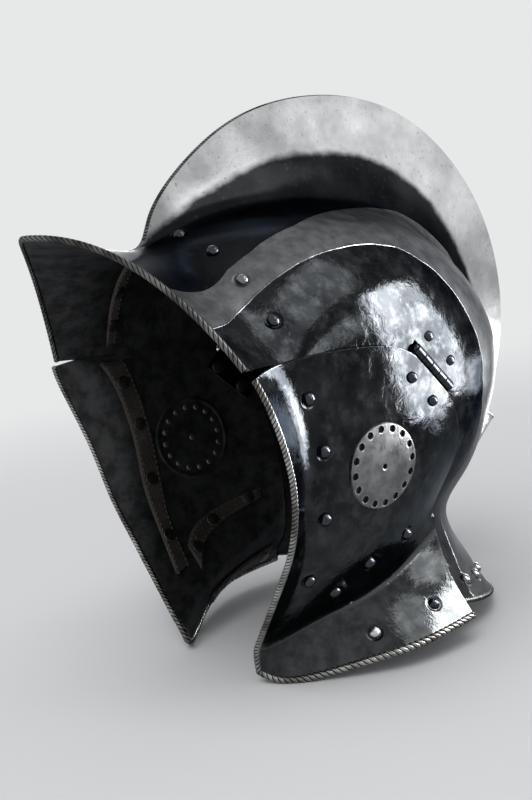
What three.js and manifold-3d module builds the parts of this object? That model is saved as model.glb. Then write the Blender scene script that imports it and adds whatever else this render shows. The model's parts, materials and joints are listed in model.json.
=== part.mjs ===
// Burgonet: an open helmet with a combed skull, a pointed peak, a flared nape
// and two hinged cheekpieces. Lengths are millimetres.
// It is drawn upright as it is worn, +X to the wearer's left, -Y to the face, +Z up,
// with the origin midway between the two ear rosettes, and is stood on a table at the end.
import * as THREE from 'three';
import { mergeVertices } from 'three/addons/utils/BufferGeometryUtils.js';
import Module from 'manifold-3d';

const wasm = await Module();
wasm.setup();

// Driving sizes: lengths that a share of 1 stands for in the tables of places
const across = 100;
const along = 100;
const upward = 100;

// Plates and their edges
const plateWall = 1.5;
const seatGap = 0.35;
const lapGap = 0.9;
const lapDepth = 5;
const lapTuck = 1;
const beadRadius = 2.5;
const beadSides = 6;
const peakBeadSteps = 22;
const napeBeadSteps = 12;
const crestBeadSteps = 22;
const cheekBeadSteps = 22;
const footFlat = 0.5;
const cutOverrun = 4;
const weldTolerance = 0.002;
const castReach = 12;
const slopeStep = 0.01;
const pitchTrials = 30;
const steepestPitch = Math.PI / 8;

// Comb
const combCrestHalf = 2.5;
const combSpread = 8.4;
const combReach = 45;

// Rivets
const headRadius = 3.3;
const headHeight = 2.3;
const shankRadius = 1.7;
const holeGap = 0.3;
const washerRadius = 4.2;
const washerHeight = 0.9;
const leafHeadRadius = 3.2;
const holderHeadRadius = 3.9;
const holderHeadHeight = 3;
const domeShare = 0.7;
const rivetSides = 6;

// Leather linings
const leatherWall = 1.6;
const leatherGap = 0.7;
const frontBandRows = 6;
const sideBandColumns = 5;

// Hinges
const pinRadius = 1.2;
const pinHeadRadius = 2.2;
const pinHeadHeight = 1;
const knuckleRadius = 3;
const knuckleCount = 5;
const knuckleSides = 8;
const boreSides = 6;
const knuckleGap = 0.35;
const leafWall = 1.3;
const leafReach = 15;
const leafProbes = 8;
const knuckleSweepShare = 0.75;
const hingeRelief = 3.7;

// Rosettes
const rosetteRadius = 21.5;
const rosetteRise = 0.9;
const rosetteDome = 0.9;
const rosetteHoles = 16;
const rosetteHoleRing = 18.6;
const rosetteHoleRadius = 1.6;
const rosetteEyeRadius = 1.2;
const rosetteHoleSides = 6;
const rosetteSides = 24;
const rosetteSink = 0.7;

// Plume holder
const holderFootRadius = 4.2;
const holderMouthRadius = 6.6;
const holderWall = 1.1;
const holderFootHalf = 11;
const holderFootWall = 1.5;

// Skull stations from the peak's edge over the crown to the nape's rim.
// Shares: centre y z, side x y z, fullness towards y and z and its root, crest y z.
const skullStationShares = [
  [-1.45, 1.09, 0.975, -0.855, 0.485, 1.30, 2.45, 1.00, -1.45, 1.09],
  [-1.16, 1.05, 0.947, -0.70, 0.50, 1.45, 2.30, 1.00, -1.16, 1.05],
  [-0.86, 1.06, 0.932, -0.55, 0.52, 1.75, 2.20, 1.15, -0.86, 1.06],
  [-0.60, 1.17, 0.918, -0.38, 0.55, 2.10, 2.15, 1.60, -0.77, 1.25],
  [-0.20, 1.28, 0.905, -0.12, 0.585, 2.20, 2.20, 2.10, -0.525, 1.565],
  [0.20, 1.31, 0.890, 0.10, 0.58, 2.20, 2.20, 2.20, -0.035, 1.87],
  [0.60, 1.27, 0.880, 0.22, 0.55, 2.20, 2.20, 2.20, 0.775, 1.93],
  [0.95, 1.10, 0.865, 0.35, 0.47, 2.20, 2.20, 2.20, 1.45, 1.50],
  [1.20, 0.82, 0.850, 0.46, 0.37, 2.20, 2.20, 2.20, 1.71, 0.90],
  [1.31, 0.50, 0.826, 0.48, 0.22, 2.10, 2.10, 2.10, 1.68, 0.41],
  [1.31, 0.20, 0.772, 0.50, 0.05, 1.90, 1.90, 1.90, 1.535, 0.07],
  [1.28, -0.12, 0.692, 0.51, -0.14, 1.60, 1.60, 1.60, 1.395, -0.15],
  [1.20, -0.40, 0.622, 0.50, -0.34, 1.35, 1.35, 1.35, 1.24, -0.41],
  [1.28, -0.62, 0.652, 0.53, -0.58, 1.60, 1.60, 1.60, 1.30, -0.62],
  [1.307, -0.745, 0.735, 0.54, -0.70, 1.85, 1.85, 1.85, 1.317, -0.745],
  [1.335, -0.825, 0.790, 0.57, -0.765, 2.00, 2.00, 2.00, 1.335, -0.825],
];
// Rows of the grid between each station and the next
const skullRowSteps = [1, 1, 2, 2, 3, 3, 3, 2, 2, 2, 1, 1, 1, 1, 1];
// Columns of the grid beside the crest, as shares of the comb's reach, then by angle to the side
const combColumnShares = [0.18, 0.38, 0.7];
const lapStationShares = { full: 2, end: 9 };
const sideColumns = 4;

// Cheekpiece places on the outer face: rows from the top seam to the neck crease,
// columns from the front edge to the rear edge. Shares x y z.
const cheekMainShares = [
  [[1.035, -0.845, 0.445], [0.97, -0.68, 0.50], [0.945, -0.42, 0.55],
    [0.932, -0.10, 0.58], [0.91, 0.17, 0.54], [0.87, 0.455, 0.36]],
  [[1.06, -0.77, 0.30], [0.935, -0.57, 0.32], [0.925, -0.35, 0.33],
    [0.92, -0.03, 0.32], [0.90, 0.25, 0.28], [0.83, 0.56, 0.18]],
  [[1.019, -0.628, -0.005], [0.915, -0.46, 0.01], [0.905, -0.26, 0.00],
    [0.895, 0.02, 0.00], [0.865, 0.32, -0.01], [0.75, 0.61, -0.02]],
  [[0.919, -0.548, -0.297], [0.85, -0.41, -0.27], [0.85, -0.21, -0.29],
    [0.835, 0.05, -0.29], [0.775, 0.32, -0.27], [0.67, 0.55, -0.26]],
  [[0.754, -0.496, -0.538], [0.70, -0.36, -0.55], [0.735, -0.20, -0.54],
    [0.745, 0.04, -0.51], [0.715, 0.30, -0.44], [0.66, 0.56, -0.33]],
  [[0.42, -0.415, -0.95], [0.45, -0.32, -0.925], [0.54, -0.12, -0.81],
    [0.605, 0.06, -0.73], [0.645, 0.30, -0.61], [0.66, 0.57, -0.40]],
];
// From the neck crease to the bottom edge of the flange
const cheekFlangeShares = [
  cheekMainShares[5],
  [[0.38, -0.385, -1.03], [0.45, -0.30, -1.015], [0.56, -0.13, -0.94],
    [0.66, 0.04, -0.86], [0.73, 0.28, -0.755], [0.74, 0.60, -0.62]],
  [[0.363, -0.365, -1.085], [0.47, -0.275, -1.115], [0.62, -0.125, -1.065],
    [0.77, 0.05, -0.985], [0.885, 0.29, -0.905], [0.89, 0.63, -0.82]],
];
const cheekMainRows = 9;
const cheekFlangeRows = 3;
const cheekColumns = 10;

// Hinge line of the left cheekpiece, front end and rear end
const hingeFrontShares = [0.892, 0.20, 0.57];
const hingeRearShares = [0.852, 0.47, 0.37];

// Rivets and linings, as places on the plates: station and half-breadth on the skull,
// row and column of the tables on a cheekpiece
const browRivetShares = [0.16, 0.46, 0.69, 0.88];
const browBandShares = { middle: 2.72, fall: 0.65, half: 0.2, reach: 0.96 };
const napeRivetShares = [0.59, 0.79, 0.92];
const napeBandShares = { middle: 13.8, fall: 0, half: 0.3, reach: 0.98 };
const frontRivetShares = [[0.94, 1.52], [1.73, 1.60], [2.84, 1.50], [4.05, 1.42]];
const diagonalRivetShares = [[4.47, 2.29], [3.98, 3.01], [3.65, 3.97]];
const flangeRivetShares = [[6.30, 3.30], [6.38, 4.50]];
const frontBandShares = { path: [[0.35, 1.50], [1.8, 1.60], [3.0, 1.50], [4.6, 1.40]], half: 0.32 };
const diagonalBandShares = { path: [[4.6, 2.0], [3.98, 3.01], [3.6, 4.3]], half: 0.24 };
const flangeBandShares = { path: [[6.2, 2.4], [6.3, 3.3], [6.4, 4.65]], half: 0.3 };
const rosetteShares = [2, 2.92];
const lowerLeafRivetShares = [0.16, 0.76];
const upperLeafRivetShares = [0.17, 0.78];
const upperLeafRivetDrop = 11;
const lowerLeafRivetDrop = 13.8;
const crestBeadShares = { from: 2.3, to: 9.6 };
const holderFootShares = { from: 11, to: 12, columns: 2 };
const holderFootCentreShares = [0, 1.352, -0.32];
const holderMouthCentreShares = [0, 1.655, 0.105];
const holderRivetShares = [[11.45, 0], [11.5, 0.8]];

// Finishes
const finish = (color, metalness, roughness) =>
  new THREE.MeshStandardMaterial({ color, metalness, roughness });
const blackSteel = finish(0x24262a, 1, 0.35);
const brightSteel = finish(0xb9bcc0, 1, 0.3);
const darkSteel = finish(0x3a3c40, 1, 0.4);
const leather = finish(0x4a3626, 0, 0.8);

// Builds a closed solid for joining and cutting
function solidOf(geometry) {
  const bare = new THREE.BufferGeometry();
  bare.setAttribute('position', geometry.getAttribute('position').clone());
  if (geometry.index) bare.setIndex(geometry.index.clone());
  const merged = mergeVertices(bare, weldTolerance);
  return new wasm.Manifold(new wasm.Mesh({
    numProp: 3,
    vertProperties: new Float32Array(merged.getAttribute('position').array),
    triVerts: new Uint32Array(merged.index.array),
  }));
}

function geometryOf(solid) {
  const data = solid.getMesh();
  const geometry = new THREE.BufferGeometry();
  geometry.setAttribute('position', new THREE.BufferAttribute(data.vertProperties, 3));
  geometry.setIndex(new THREE.BufferAttribute(data.triVerts, 1));
  return geometry;
}

// Smooth reading of a table of rows at a whole or part row
function smoothRow(rows, at) {
  const last = rows.length - 1;
  const place = Math.min(Math.max(at, 0), last);
  const row = Math.min(Math.floor(place), last - 1);
  const t = place - row;
  const near = rows[row];
  const far = rows[row + 1];
  return near.map((b, k) => {
    const c = far[k];
    const a = row > 0 ? rows[row - 1][k] : 2 * b - c;
    const d = row + 2 <= last ? rows[row + 2][k] : 2 * c - b;
    return 0.5 * (2 * b + (c - a) * t + (2 * a - 5 * b + 4 * c - d) * t ** 2
      + (3 * b - a - 3 * c + d) * t ** 3);
  });
}

const placeOf = ([x, y, z]) => new THREE.Vector3(x * across, y * along, z * upward);

// Comb height as a share of its crest height, at a distance from the centre plane
function combShare(x) {
  const fall = (distance) => (1 + Math.max(distance - combCrestHalf, 0) / combSpread) ** -2;
  const end = fall(combReach);
  return Math.max(0, (fall(x) - end) / (1 - end));
}

// Outer face of the skull at a station and a signed distance from the centre plane
function skullPoint(station, x, combed = true) {
  const [yc, zc, xs, ys, zs, toY, toZ, root, yk, zk] = smoothRow(skullStationShares, station);
  const side = Math.min(Math.abs(x) / (xs * across), 1);
  const inY = (1 - side ** toY) ** (1 / root);
  const inZ = (1 - side ** toZ) ** (1 / root);
  const rise = combed ? combShare(Math.abs(x)) : 0;
  return new THREE.Vector3(
    Math.sign(x) * side * xs * across,
    (ys + (yc - ys) * inY + (yk - yc) * rise) * along,
    (zs + (zc - zs) * inZ + (zk - zc) * rise) * upward,
  );
}

const skullHalf = (station) => smoothRow(skullStationShares, station)[2] * across;

// The margin that slips under the cheekpiece, past the visible seam
function skullLap(station, sign) {
  const [yc, zc, xs, ys, zs] = smoothRow(skullStationShares, station);
  const edge = placeOf([sign * xs, ys, zs]);
  const down = edge.clone().sub(placeOf([sign * xs, yc, zc])).normalize();
  const share = Math.min(1, station / lapStationShares.full,
    Math.max(0, lapStationShares.end - station));
  edge.x -= sign * lapTuck * share;
  return edge.addScaledVector(down, lapDepth * share);
}

// Half-breadths of the grid's columns at a station, from the crest to the side
function skullColumns(station) {
  const half = skullHalf(station);
  const near = [combCrestHalf, ...combColumnShares.map((share) => share * combReach)];
  const start = Math.asin(near[near.length - 1] / half);
  const rest = Array.from({ length: sideColumns }, (_, k) =>
    half * Math.sin(start + (Math.PI / 2 - start) * (k + 1) / sideColumns));
  return [...near, ...rest];
}

function skullGridRow(station) {
  const half = skullColumns(station);
  const left = half.map((x) => skullPoint(station, x));
  const right = half.map((x) => skullPoint(station, -x)).reverse();
  return [skullLap(station, -1), ...right, skullPoint(station, 0), ...left, skullLap(station, 1)];
}

const skullRows = [0];
skullRowSteps.forEach((count, station) => {
  for (let k = 1; k <= count; k += 1) skullRows.push(station + k / count);
});

// Outward normal at each place of a grid
function gridNormals(grid) {
  const lastRow = grid.length - 1;
  const lastColumn = grid[0].length - 1;
  return grid.map((row, i) => row.map((_, j) => {
    const down = grid[Math.min(i + 1, lastRow)][j].clone().sub(grid[Math.max(i - 1, 0)][j]);
    const over = row[Math.min(j + 1, lastColumn)].clone().sub(row[Math.max(j - 1, 0)]);
    return over.cross(down).normalize();
  }));
}

// Closed plate between two offsets from a grid, positive outwards
function plate(grid, inner, outer, normals = gridNormals(grid)) {
  const rows = grid.length;
  const columns = grid[0].length;
  const points = [outer, inner].flatMap((offset) => grid.flatMap((row, i) =>
    row.map((point, j) => point.clone().addScaledVector(normals[i][j], offset))));
  const at = (layer, i, j) => layer * rows * columns + i * columns + j;
  const faces = [];
  const quad = (a, b, c, d) => faces.push(a, b, c, a, c, d);
  const endRow = rows - 1;
  const endColumn = columns - 1;
  for (let i = 0; i < endRow; i += 1) {
    for (let j = 0; j < endColumn; j += 1) {
      const corners = [[i, j], [i, j + 1], [i + 1, j + 1], [i + 1, j]];
      // The diagonals of the two halves mirror each other
      if (2 * j < endColumn) corners.push(corners.shift());
      const [a, b, c, d] = corners;
      quad(...[a, b, c, d].map(([row, column]) => at(0, row, column)));
      quad(...[a, d, c, b].map(([row, column]) => at(1, row, column)));
    }
    quad(at(0, i, 0), at(0, i + 1, 0), at(1, i + 1, 0), at(1, i, 0));
    quad(at(0, i + 1, endColumn), at(0, i, endColumn), at(1, i, endColumn), at(1, i + 1, endColumn));
  }
  for (let j = 0; j < endColumn; j += 1) {
    quad(at(0, 0, j + 1), at(0, 0, j), at(1, 0, j), at(1, 0, j + 1));
    quad(at(0, endRow, j), at(0, endRow, j + 1), at(1, endRow, j + 1), at(1, endRow, j));
  }
  return meshOf(points, faces);
}

function meshOf(points, faces) {
  const geometry = new THREE.BufferGeometry();
  geometry.setAttribute('position', new THREE.BufferAttribute(
    new Float32Array(points.flatMap((p) => [p.x, p.y, p.z])), 3));
  geometry.setIndex(faces);
  return geometry;
}

// The same piece for the wearer's right
function mirrored(geometry) {
  const copy = geometryOf(solidOf(geometry));
  copy.scale(-1, 1, 1);
  const index = copy.index.array;
  for (let k = 0; k < index.length; k += 3) [index[k], index[k + 1]] = [index[k + 1], index[k]];
  return copy;
}

const join = (first, ...others) => geometryOf(
  others.reduce((solid, other) => solid.add(solidOf(other)), solidOf(first)));
const cut = (first, others) => geometryOf(
  others.reduce((solid, other) => solid.subtract(solidOf(other)), solidOf(first)));

// Rolled edge: a round bead along a path of points
function bead(points, steps) {
  const ring = new THREE.Shape();
  for (let k = 0; k < beadSides; k += 1) {
    const turn = 2 * Math.PI * (k + 0.5) / beadSides;
    ring[k ? 'lineTo' : 'moveTo'](beadRadius * Math.cos(turn), beadRadius * Math.sin(turn));
  }
  return new THREE.ExtrudeGeometry(ring, {
    steps, bevelEnabled: false, extrudePath: new THREE.CatmullRomCurve3(points),
  });
}

// Turns the z axis of a geometry to a direction and moves its origin to a place
function aim(geometry, place, direction) {
  const turn = new THREE.Quaternion().setFromUnitVectors(new THREE.Vector3(0, 0, 1), direction);
  return geometry.applyQuaternion(turn).translate(place.x, place.y, place.z);
}

function rod(radius, from, to, sides) {
  const geometry = new THREE.CylinderGeometry(radius, radius, to.distanceTo(from), sides);
  geometry.rotateX(Math.PI / 2);
  return aim(geometry, from.clone().lerp(to, 0.5), to.clone().sub(from).normalize());
}

// Highest and lowest crossing of a plate by lines parallel to an axis, near a place
const caster = new THREE.Raycaster();
caster.far = 2 * castReach;
function crossings(geometry, starts, axis) {
  const mesh = new THREE.Mesh(geometry, new THREE.MeshBasicMaterial({ side: THREE.DoubleSide }));
  const heights = starts.flatMap((start) => {
    caster.set(start.clone().addScaledVector(axis, castReach), axis.clone().negate());
    return caster.intersectObject(mesh).map((hit) => castReach - hit.distance);
  });
  return { top: Math.max(...heights), bottom: Math.min(...heights) };
}

function discAround(place, axis, radius) {
  const side = new THREE.Vector3(0, 0, 1).cross(axis).normalize();
  const other = axis.clone().cross(side);
  return Array.from({ length: rivetSides }, (_, k) => {
    const turn = 2 * Math.PI * k / rivetSides;
    return place.clone().addScaledVector(side, radius * Math.cos(turn))
      .addScaledVector(other, radius * Math.sin(turn));
  }).concat([place.clone()]);
}

// Domed rivet with its shank and inner washer, seated over a stack of plates
function rivet(stack, place, axis, radius = headRadius, height = headHeight, sunk = false) {
  const over = [...discAround(place, axis, radius), ...discAround(place, axis, radius / 2)];
  const under = [...over, ...discAround(place, axis, washerRadius)];
  const tops = stack.map((geometry) => crossings(geometry, over, axis).top);
  const bottoms = stack.map((geometry) => crossings(geometry, under, axis).bottom);
  const top = Math.max(...tops) + (sunk ? -plateWall / 2 : seatGap);
  const bottom = Math.min(...bottoms) - seatGap;
  const profile = [
    [0, bottom - washerHeight], [washerRadius, bottom - washerHeight], [washerRadius, bottom],
    [shankRadius, bottom], [shankRadius, top], [radius, top],
    [domeShare * radius, top + domeShare * height], [0, top + height],
  ].map(([x, y]) => new THREE.Vector2(x, y));
  const geometry = new THREE.LatheGeometry(profile, rivetSides).rotateX(Math.PI / 2);
  const holeProfile = [
    [0, bottom - cutOverrun], [shankRadius + holeGap, bottom - cutOverrun],
    [shankRadius + holeGap, top + cutOverrun], [0, top + cutOverrun],
  ].map(([x, y]) => new THREE.Vector2(x, y));
  const hole = new THREE.LatheGeometry(holeProfile, rivetSides).rotateX(Math.PI / 2);
  return { geometry: aim(geometry, place, axis), hole: aim(hole, place, axis) };
}

// Outer face of the left cheekpiece at a row and column of its tables
function cheekPoint(row, column) {
  const crease = cheekMainShares.length - 1;
  const [rows, at] = row <= crease ? [cheekMainShares, row] : [cheekFlangeShares, row - crease];
  const places = rows[0].map((_, k) => smoothRow(rows.map((r) => r[k]), at));
  return placeOf(smoothRow(places, column));
}

const steps = (count, from, to) =>
  Array.from({ length: count + 1 }, (_, k) => from + (to - from) * k / count);

const lastCheekColumn = cheekMainShares[0].length - 1;
const creaseRow = cheekMainShares.length - 1;
const hemRow = creaseRow + cheekFlangeShares.length - 1;
const cheekGrid = [
  ...steps(cheekMainRows, 0, creaseRow), ...steps(cheekFlangeRows, creaseRow, hemRow).slice(1),
].map((row) => steps(cheekColumns, lastCheekColumn, 0).map((column) => cheekPoint(row, column)));
const cheekNormals = gridNormals(cheekGrid);

// Place and outward direction on a face, from its own reading of two numbers
function spotOn(face, first, second, turned) {
  const place = face(first, second);
  const down = face(first + slopeStep, second).sub(place);
  const over = face(first, second + slopeStep).sub(place);
  const axis = over.cross(down).normalize().multiplyScalar(turned ? -1 : 1);
  return { place, axis };
}

const cheekSpot = ([row, column]) => spotOn(cheekPoint, row, column, true);
const skullAcross = (combed) => (station, share) =>
  skullPoint(station, share * skullHalf(station), combed);
const skullSpot = ([station, share]) => spotOn(skullAcross(true), station, share, false);

const outward = new THREE.Vector3(1, 0, 0);
const names = ['left', 'right'];
const pieces = [];
const addPiece = (name, geometry, material) => pieces.push({ name, geometry, material });
function addPair(name, geometry, material) {
  addPiece(`left_${name}`, geometry, material);
  addPiece(`right_${name}`, mirrored(geometry), material);
}

// Bare shells, before their holes
const skullGrid = skullRows.map(skullGridRow);
const midColumn = (skullGrid[0].length - 1) / 2;
const skullNormals = gridNormals(skullGrid);
const skullShell = plate(skullGrid, -plateWall, 0);
const cheekShell = plate(cheekGrid, -plateWall, 0);

// Path half way through a plate's wall, from places of its grid
const midWall = (grid, normals, spots) => spots.map(([i, j]) =>
  grid[i][j].clone().addScaledVector(normals[i][j], -plateWall / 2));

// Hinge frame of the left cheekpiece: along the pin, outward and up over the skull
const hingeFront = placeOf(hingeFrontShares);
const hingeRear = placeOf(hingeRearShares);
const hingeMiddle = hingeFront.clone().lerp(hingeRear, 0.5);
const hingeLength = hingeFront.distanceTo(hingeRear);
const hingeAxis = hingeFront.clone().sub(hingeRear).normalize();
const hingeUp = hingeAxis.clone().cross(outward).normalize();
const hingeOut = hingeUp.clone().cross(hingeAxis).normalize();
const hingeBasis = new THREE.Matrix4().makeBasis(hingeUp, hingeAxis, hingeOut);
const knuckleBasis = new THREE.Matrix4().makeBasis(hingeUp, hingeOut, hingeAxis.clone().negate());
const atHinge = (run, over, out) =>
  new THREE.Vector3(over, run, out).applyMatrix4(hingeBasis).add(hingeMiddle);

function hingeBox(fromRun, toRun, fromOver, toOver, fromOut, toOut) {
  const box = new THREE.BoxGeometry(toOver - fromOver, toRun - fromRun, toOut - fromOut);
  box.translate((fromOver + toOver) / 2, (fromRun + toRun) / 2, (fromOut + toOut) / 2);
  return box.applyMatrix4(hingeBasis).translate(hingeMiddle.x, hingeMiddle.y, hingeMiddle.z);
}

// Leaf seated under a plate on one side of the pin, with its share of the knuckles.
// A knuckle and its leg are one profile across the pin, run along it
function hingeLeaf(shell, side, first) {
  const half = hingeLength / 2;
  const reach = hingeRelief + leafReach;
  const starts = steps(leafProbes, -half, half).flatMap((run) =>
    steps(leafProbes, side * knuckleGap, side * reach).map((over) => atHinge(run, over, 0)));
  const seat = Math.min(crossings(shell, starts, hingeOut).bottom, -knuckleRadius) - seatGap;
  const profile = new THREE.Shape();
  profile.moveTo(side * knuckleGap, seat - leafWall / 2);
  for (let k = 0; k <= knuckleSides; k += 1) {
    const turn = -Math.PI / 2 - side * 2 * Math.PI * k * knuckleSweepShare / knuckleSides;
    profile.lineTo(knuckleRadius * Math.cos(turn), knuckleRadius * Math.sin(turn));
  }
  profile.lineTo(side * knuckleRadius, seat - leafWall / 2);
  const bore = new THREE.Path();
  bore.setFromPoints(steps(boreSides - 1, 0, 1 - 1 / boreSides).map((share) =>
    new THREE.Vector2(pinRadius + holeGap, 0).rotateAround(new THREE.Vector2(), 2 * Math.PI * share)));
  profile.holes.push(bore);
  const pitch = hingeLength / knuckleCount;
  const knuckles = [];
  for (let k = first; k < knuckleCount; k += 2) {
    const from = -half + k * pitch + (k ? knuckleGap / 2 : 0);
    const to = -half + (k + 1) * pitch - (k < knuckleCount - 1 ? knuckleGap / 2 : 0);
    const knuckle = new THREE.ExtrudeGeometry(profile, { depth: to - from, bevelEnabled: false });
    knuckles.push(knuckle.translate(0, 0, from).applyMatrix4(knuckleBasis)
      .translate(hingeMiddle.x, hingeMiddle.y, hingeMiddle.z));
  }
  const [least, most] = [side * knuckleGap, side * reach].sort((a, b) => a - b);
  return join(hingeBox(-half, half, least, most, seat - leafWall, seat), ...knuckles);
}

// Both plates are notched round the hinge, and the skull also under the lower leaf
const notchHalf = hingeLength / 2 + pinHeadHeight + 2 * seatGap;
const notch = hingeBox(-notchHalf, notchHalf, -hingeRelief, hingeRelief, -castReach, castReach);
const lapNotch = hingeBox(-hingeLength / 2 - lapGap, hingeLength / 2 + lapGap,
  -hingeRelief - leafReach - cutOverrun, 0, -castReach, castReach);
const skullBody = cut(skullShell, [notch, lapNotch, mirrored(notch), mirrored(lapNotch)]);
const cheekBody = cut(cheekShell, [notch]);

const skullHoles = [];
const cheekHoles = [];

// Linings: leather strips under the plates, laid by their middle line
const beneath = (strip) => plate(strip, -plateWall - leatherGap - leatherWall, -plateWall - leatherGap);
const sides = [-1, 0, 1];

const skullBandRow = ({ middle, fall }, share) => middle - fall * share ** 2;
function skullBand(shares) {
  const half = skullColumns(shares.middle).map((x) => x / skullHalf(shares.middle))
    .filter((share) => share < shares.reach);
  const columns = [...half, shares.reach];
  const face = skullAcross(false);
  return beneath([-1, 1].map((side) =>
    [...columns.map((share) => -share).reverse(), 0, ...columns].map((share) =>
      face(skullBandRow(shares, share) + side * shares.half, share))));
}
const browBand = skullBand(browBandShares);
const napeBand = skullBand(napeBandShares);

const pathSteps = (path, count) => steps(count, 0, path.length - 1).map((at) => smoothRow(path, at));
const frontBand = beneath(pathSteps(frontBandShares.path, frontBandRows).map(([row, column]) =>
  sides.map((side) => cheekPoint(row, column - side * frontBandShares.half))));
const sideBand = ({ path, half }, count) => beneath([-1, 1].map((side) =>
  pathSteps(path, count).reverse().map(([row, column]) => cheekPoint(row + side * half, column))));
const diagonalBand = sideBand(diagonalBandShares, sideBandColumns);
const flangeBand = sideBand(flangeBandShares, sideBandColumns);

// Hinges
const upperLeaf = hingeLeaf(skullBody, 1, 0);
const lowerLeaf = hingeLeaf(cheekBody, -1, 1);
const pinHalf = hingeLength / 2 + seatGap;
const pinProfile = [
  [0, -pinHalf - pinHeadHeight], [pinHeadRadius, -pinHalf - pinHeadHeight],
  [pinHeadRadius, -pinHalf], [pinRadius, -pinHalf], [pinRadius, pinHalf],
  [pinHeadRadius, pinHalf], [pinHeadRadius, pinHalf + pinHeadHeight], [0, pinHalf + pinHeadHeight],
].map(([x, y]) => new THREE.Vector2(x, y));
const pin = aim(new THREE.LatheGeometry(pinProfile, knuckleSides).rotateX(Math.PI / 2),
  hingeMiddle, hingeAxis);

function leafRivets(leaf, shell, over, shares, name, holes) {
  const cuts = [];
  shares.forEach((share, k) => {
    const run = hingeLength * (0.5 - share);
    const { geometry, hole } = rivet([leaf, shell], atHinge(run, over, 0), hingeOut, leafHeadRadius);
    addPair(`${name}_${k + 1}`, geometry, darkSteel);
    cuts.push(hole);
  });
  holes.push(...cuts);
  return cut(leaf, cuts);
}
const upperHoles = [];
const lowerHoles = [];
addPair('upper_hinge_leaf', leafRivets(upperLeaf, skullBody, upperLeafRivetDrop, upperLeafRivetShares,
  'upper_leaf_rivet', upperHoles), darkSteel);
addPair('lower_hinge_leaf', leafRivets(lowerLeaf, cheekBody, -lowerLeafRivetDrop, lowerLeafRivetShares,
  'lower_leaf_rivet', lowerHoles), darkSteel);
addPair('hinge_pin', pin, darkSteel);
skullHoles.push(...upperHoles, ...upperHoles.map(mirrored));
cheekHoles.push(...lowerHoles);

// Lining rivets of the cheekpieces
function cheekRivets(shares, strip, name) {
  const cuts = shares.map((share, k) => {
    const { place, axis } = cheekSpot(share);
    const { geometry, hole } = rivet([cheekBody, strip], place, axis);
    addPair(`${name}_rivet_${k + 1}`, geometry, brightSteel);
    return hole;
  });
  cheekHoles.push(...cuts);
  addPair(`${name}_lining`, cut(strip, cuts), leather);
}
cheekRivets(frontRivetShares, frontBand, 'cheek_front');
cheekRivets(diagonalRivetShares, diagonalBand, 'cheek_diagonal');
cheekRivets(flangeRivetShares, flangeBand, 'cheek_flange');

// Lining rivets of the skull
const browCuts = browRivetShares.flatMap((share, k) => {
  const { place, axis } = skullSpot([skullBandRow(browBandShares, share), share]);
  const { geometry, hole } = rivet([skullBody, browBand], place, axis);
  addPair(`brow_rivet_${k + 1}`, geometry, brightSteel);
  return [hole, mirrored(hole)];
});
const napeSpot = (share) => skullSpot([skullBandRow(napeBandShares, share), share]);
const napeCuts = napeRivetShares.flatMap((share, k) => {
  const { place, axis } = napeSpot(share);
  const { geometry, hole } = rivet([skullBody, napeBand], place, axis);
  addPair(`nape_rivet_${k + 1}`, geometry, brightSteel);
  return [hole, mirrored(hole)];
});
skullHoles.push(...browCuts, ...napeCuts);
addPiece('brow_lining', cut(browBand, browCuts), leather);
addPiece('nape_lining', cut(napeBand, napeCuts), leather);

// Rosette: a raised disc on the cheekpiece, pierced round its edge
const rosetteCentre = cheekPoint(...rosetteShares);
function rosetteDisc() {
  const centre = rosetteCentre;
  const rings = [0, 0.55, 1];
  const points = [];
  const drop = (y, z, inset) => {
    const start = new THREE.Vector3(centre.x, centre.y + y, centre.z + z);
    return start.setX(start.x + crossings(cheekShell, [start], outward).top + inset);
  };
  rings.slice(1).forEach((ring) => {
    for (let k = 0; k < rosetteSides; k += 1) {
      const turn = 2 * Math.PI * k / rosetteSides;
      const [y, z] = [ring * rosetteRadius * Math.cos(turn), ring * rosetteRadius * Math.sin(turn)];
      points.push(drop(y, z, rosetteRise + rosetteDome * (1 - ring ** 2)), drop(y, z, -rosetteSink));
    }
  });
  const at = (ring, k, layer) => 2 * (ring * rosetteSides + (k % rosetteSides)) + layer;
  const top = points.length;
  const bottom = top + 1;
  points.push(drop(0, 0, rosetteRise + rosetteDome), drop(0, 0, -rosetteSink));
  const faces = [];
  for (let k = 0; k < rosetteSides; k += 1) {
    faces.push(top, at(0, k, 0), at(0, k + 1, 0), bottom, at(0, k + 1, 1), at(0, k, 1));
    for (let ring = 0; ring < rings.length - 2; ring += 1) {
      const [a, b, c, d] = [at(ring, k, 0), at(ring + 1, k, 0), at(ring + 1, k + 1, 0), at(ring, k + 1, 0)];
      faces.push(a, b, c, a, c, d, a + 1, c + 1, b + 1, a + 1, d + 1, c + 1);
    }
    const rim = rings.length - 2;
    const [a, b, c, d] = [at(rim, k, 0), at(rim, k, 1), at(rim, k + 1, 1), at(rim, k + 1, 0)];
    faces.push(a, b, c, a, c, d);
  }
  return meshOf(points, faces);
}
const rosetteCuts = [[0, 0, rosetteEyeRadius]];
for (let k = 0; k < rosetteHoles; k += 1) {
  const turn = 2 * Math.PI * (k + 0.5) / rosetteHoles;
  rosetteCuts.push([rosetteHoleRing * Math.cos(turn), rosetteHoleRing * Math.sin(turn), rosetteHoleRadius]);
}
const rosetteHoleRods = rosetteCuts.map(([y, z, radius]) => {
  const place = rosetteCentre.clone().add(new THREE.Vector3(0, y, z));
  return rod(radius, place.clone().addScaledVector(outward, -castReach),
    place.clone().addScaledVector(outward, castReach), rosetteHoleSides);
});

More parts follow.
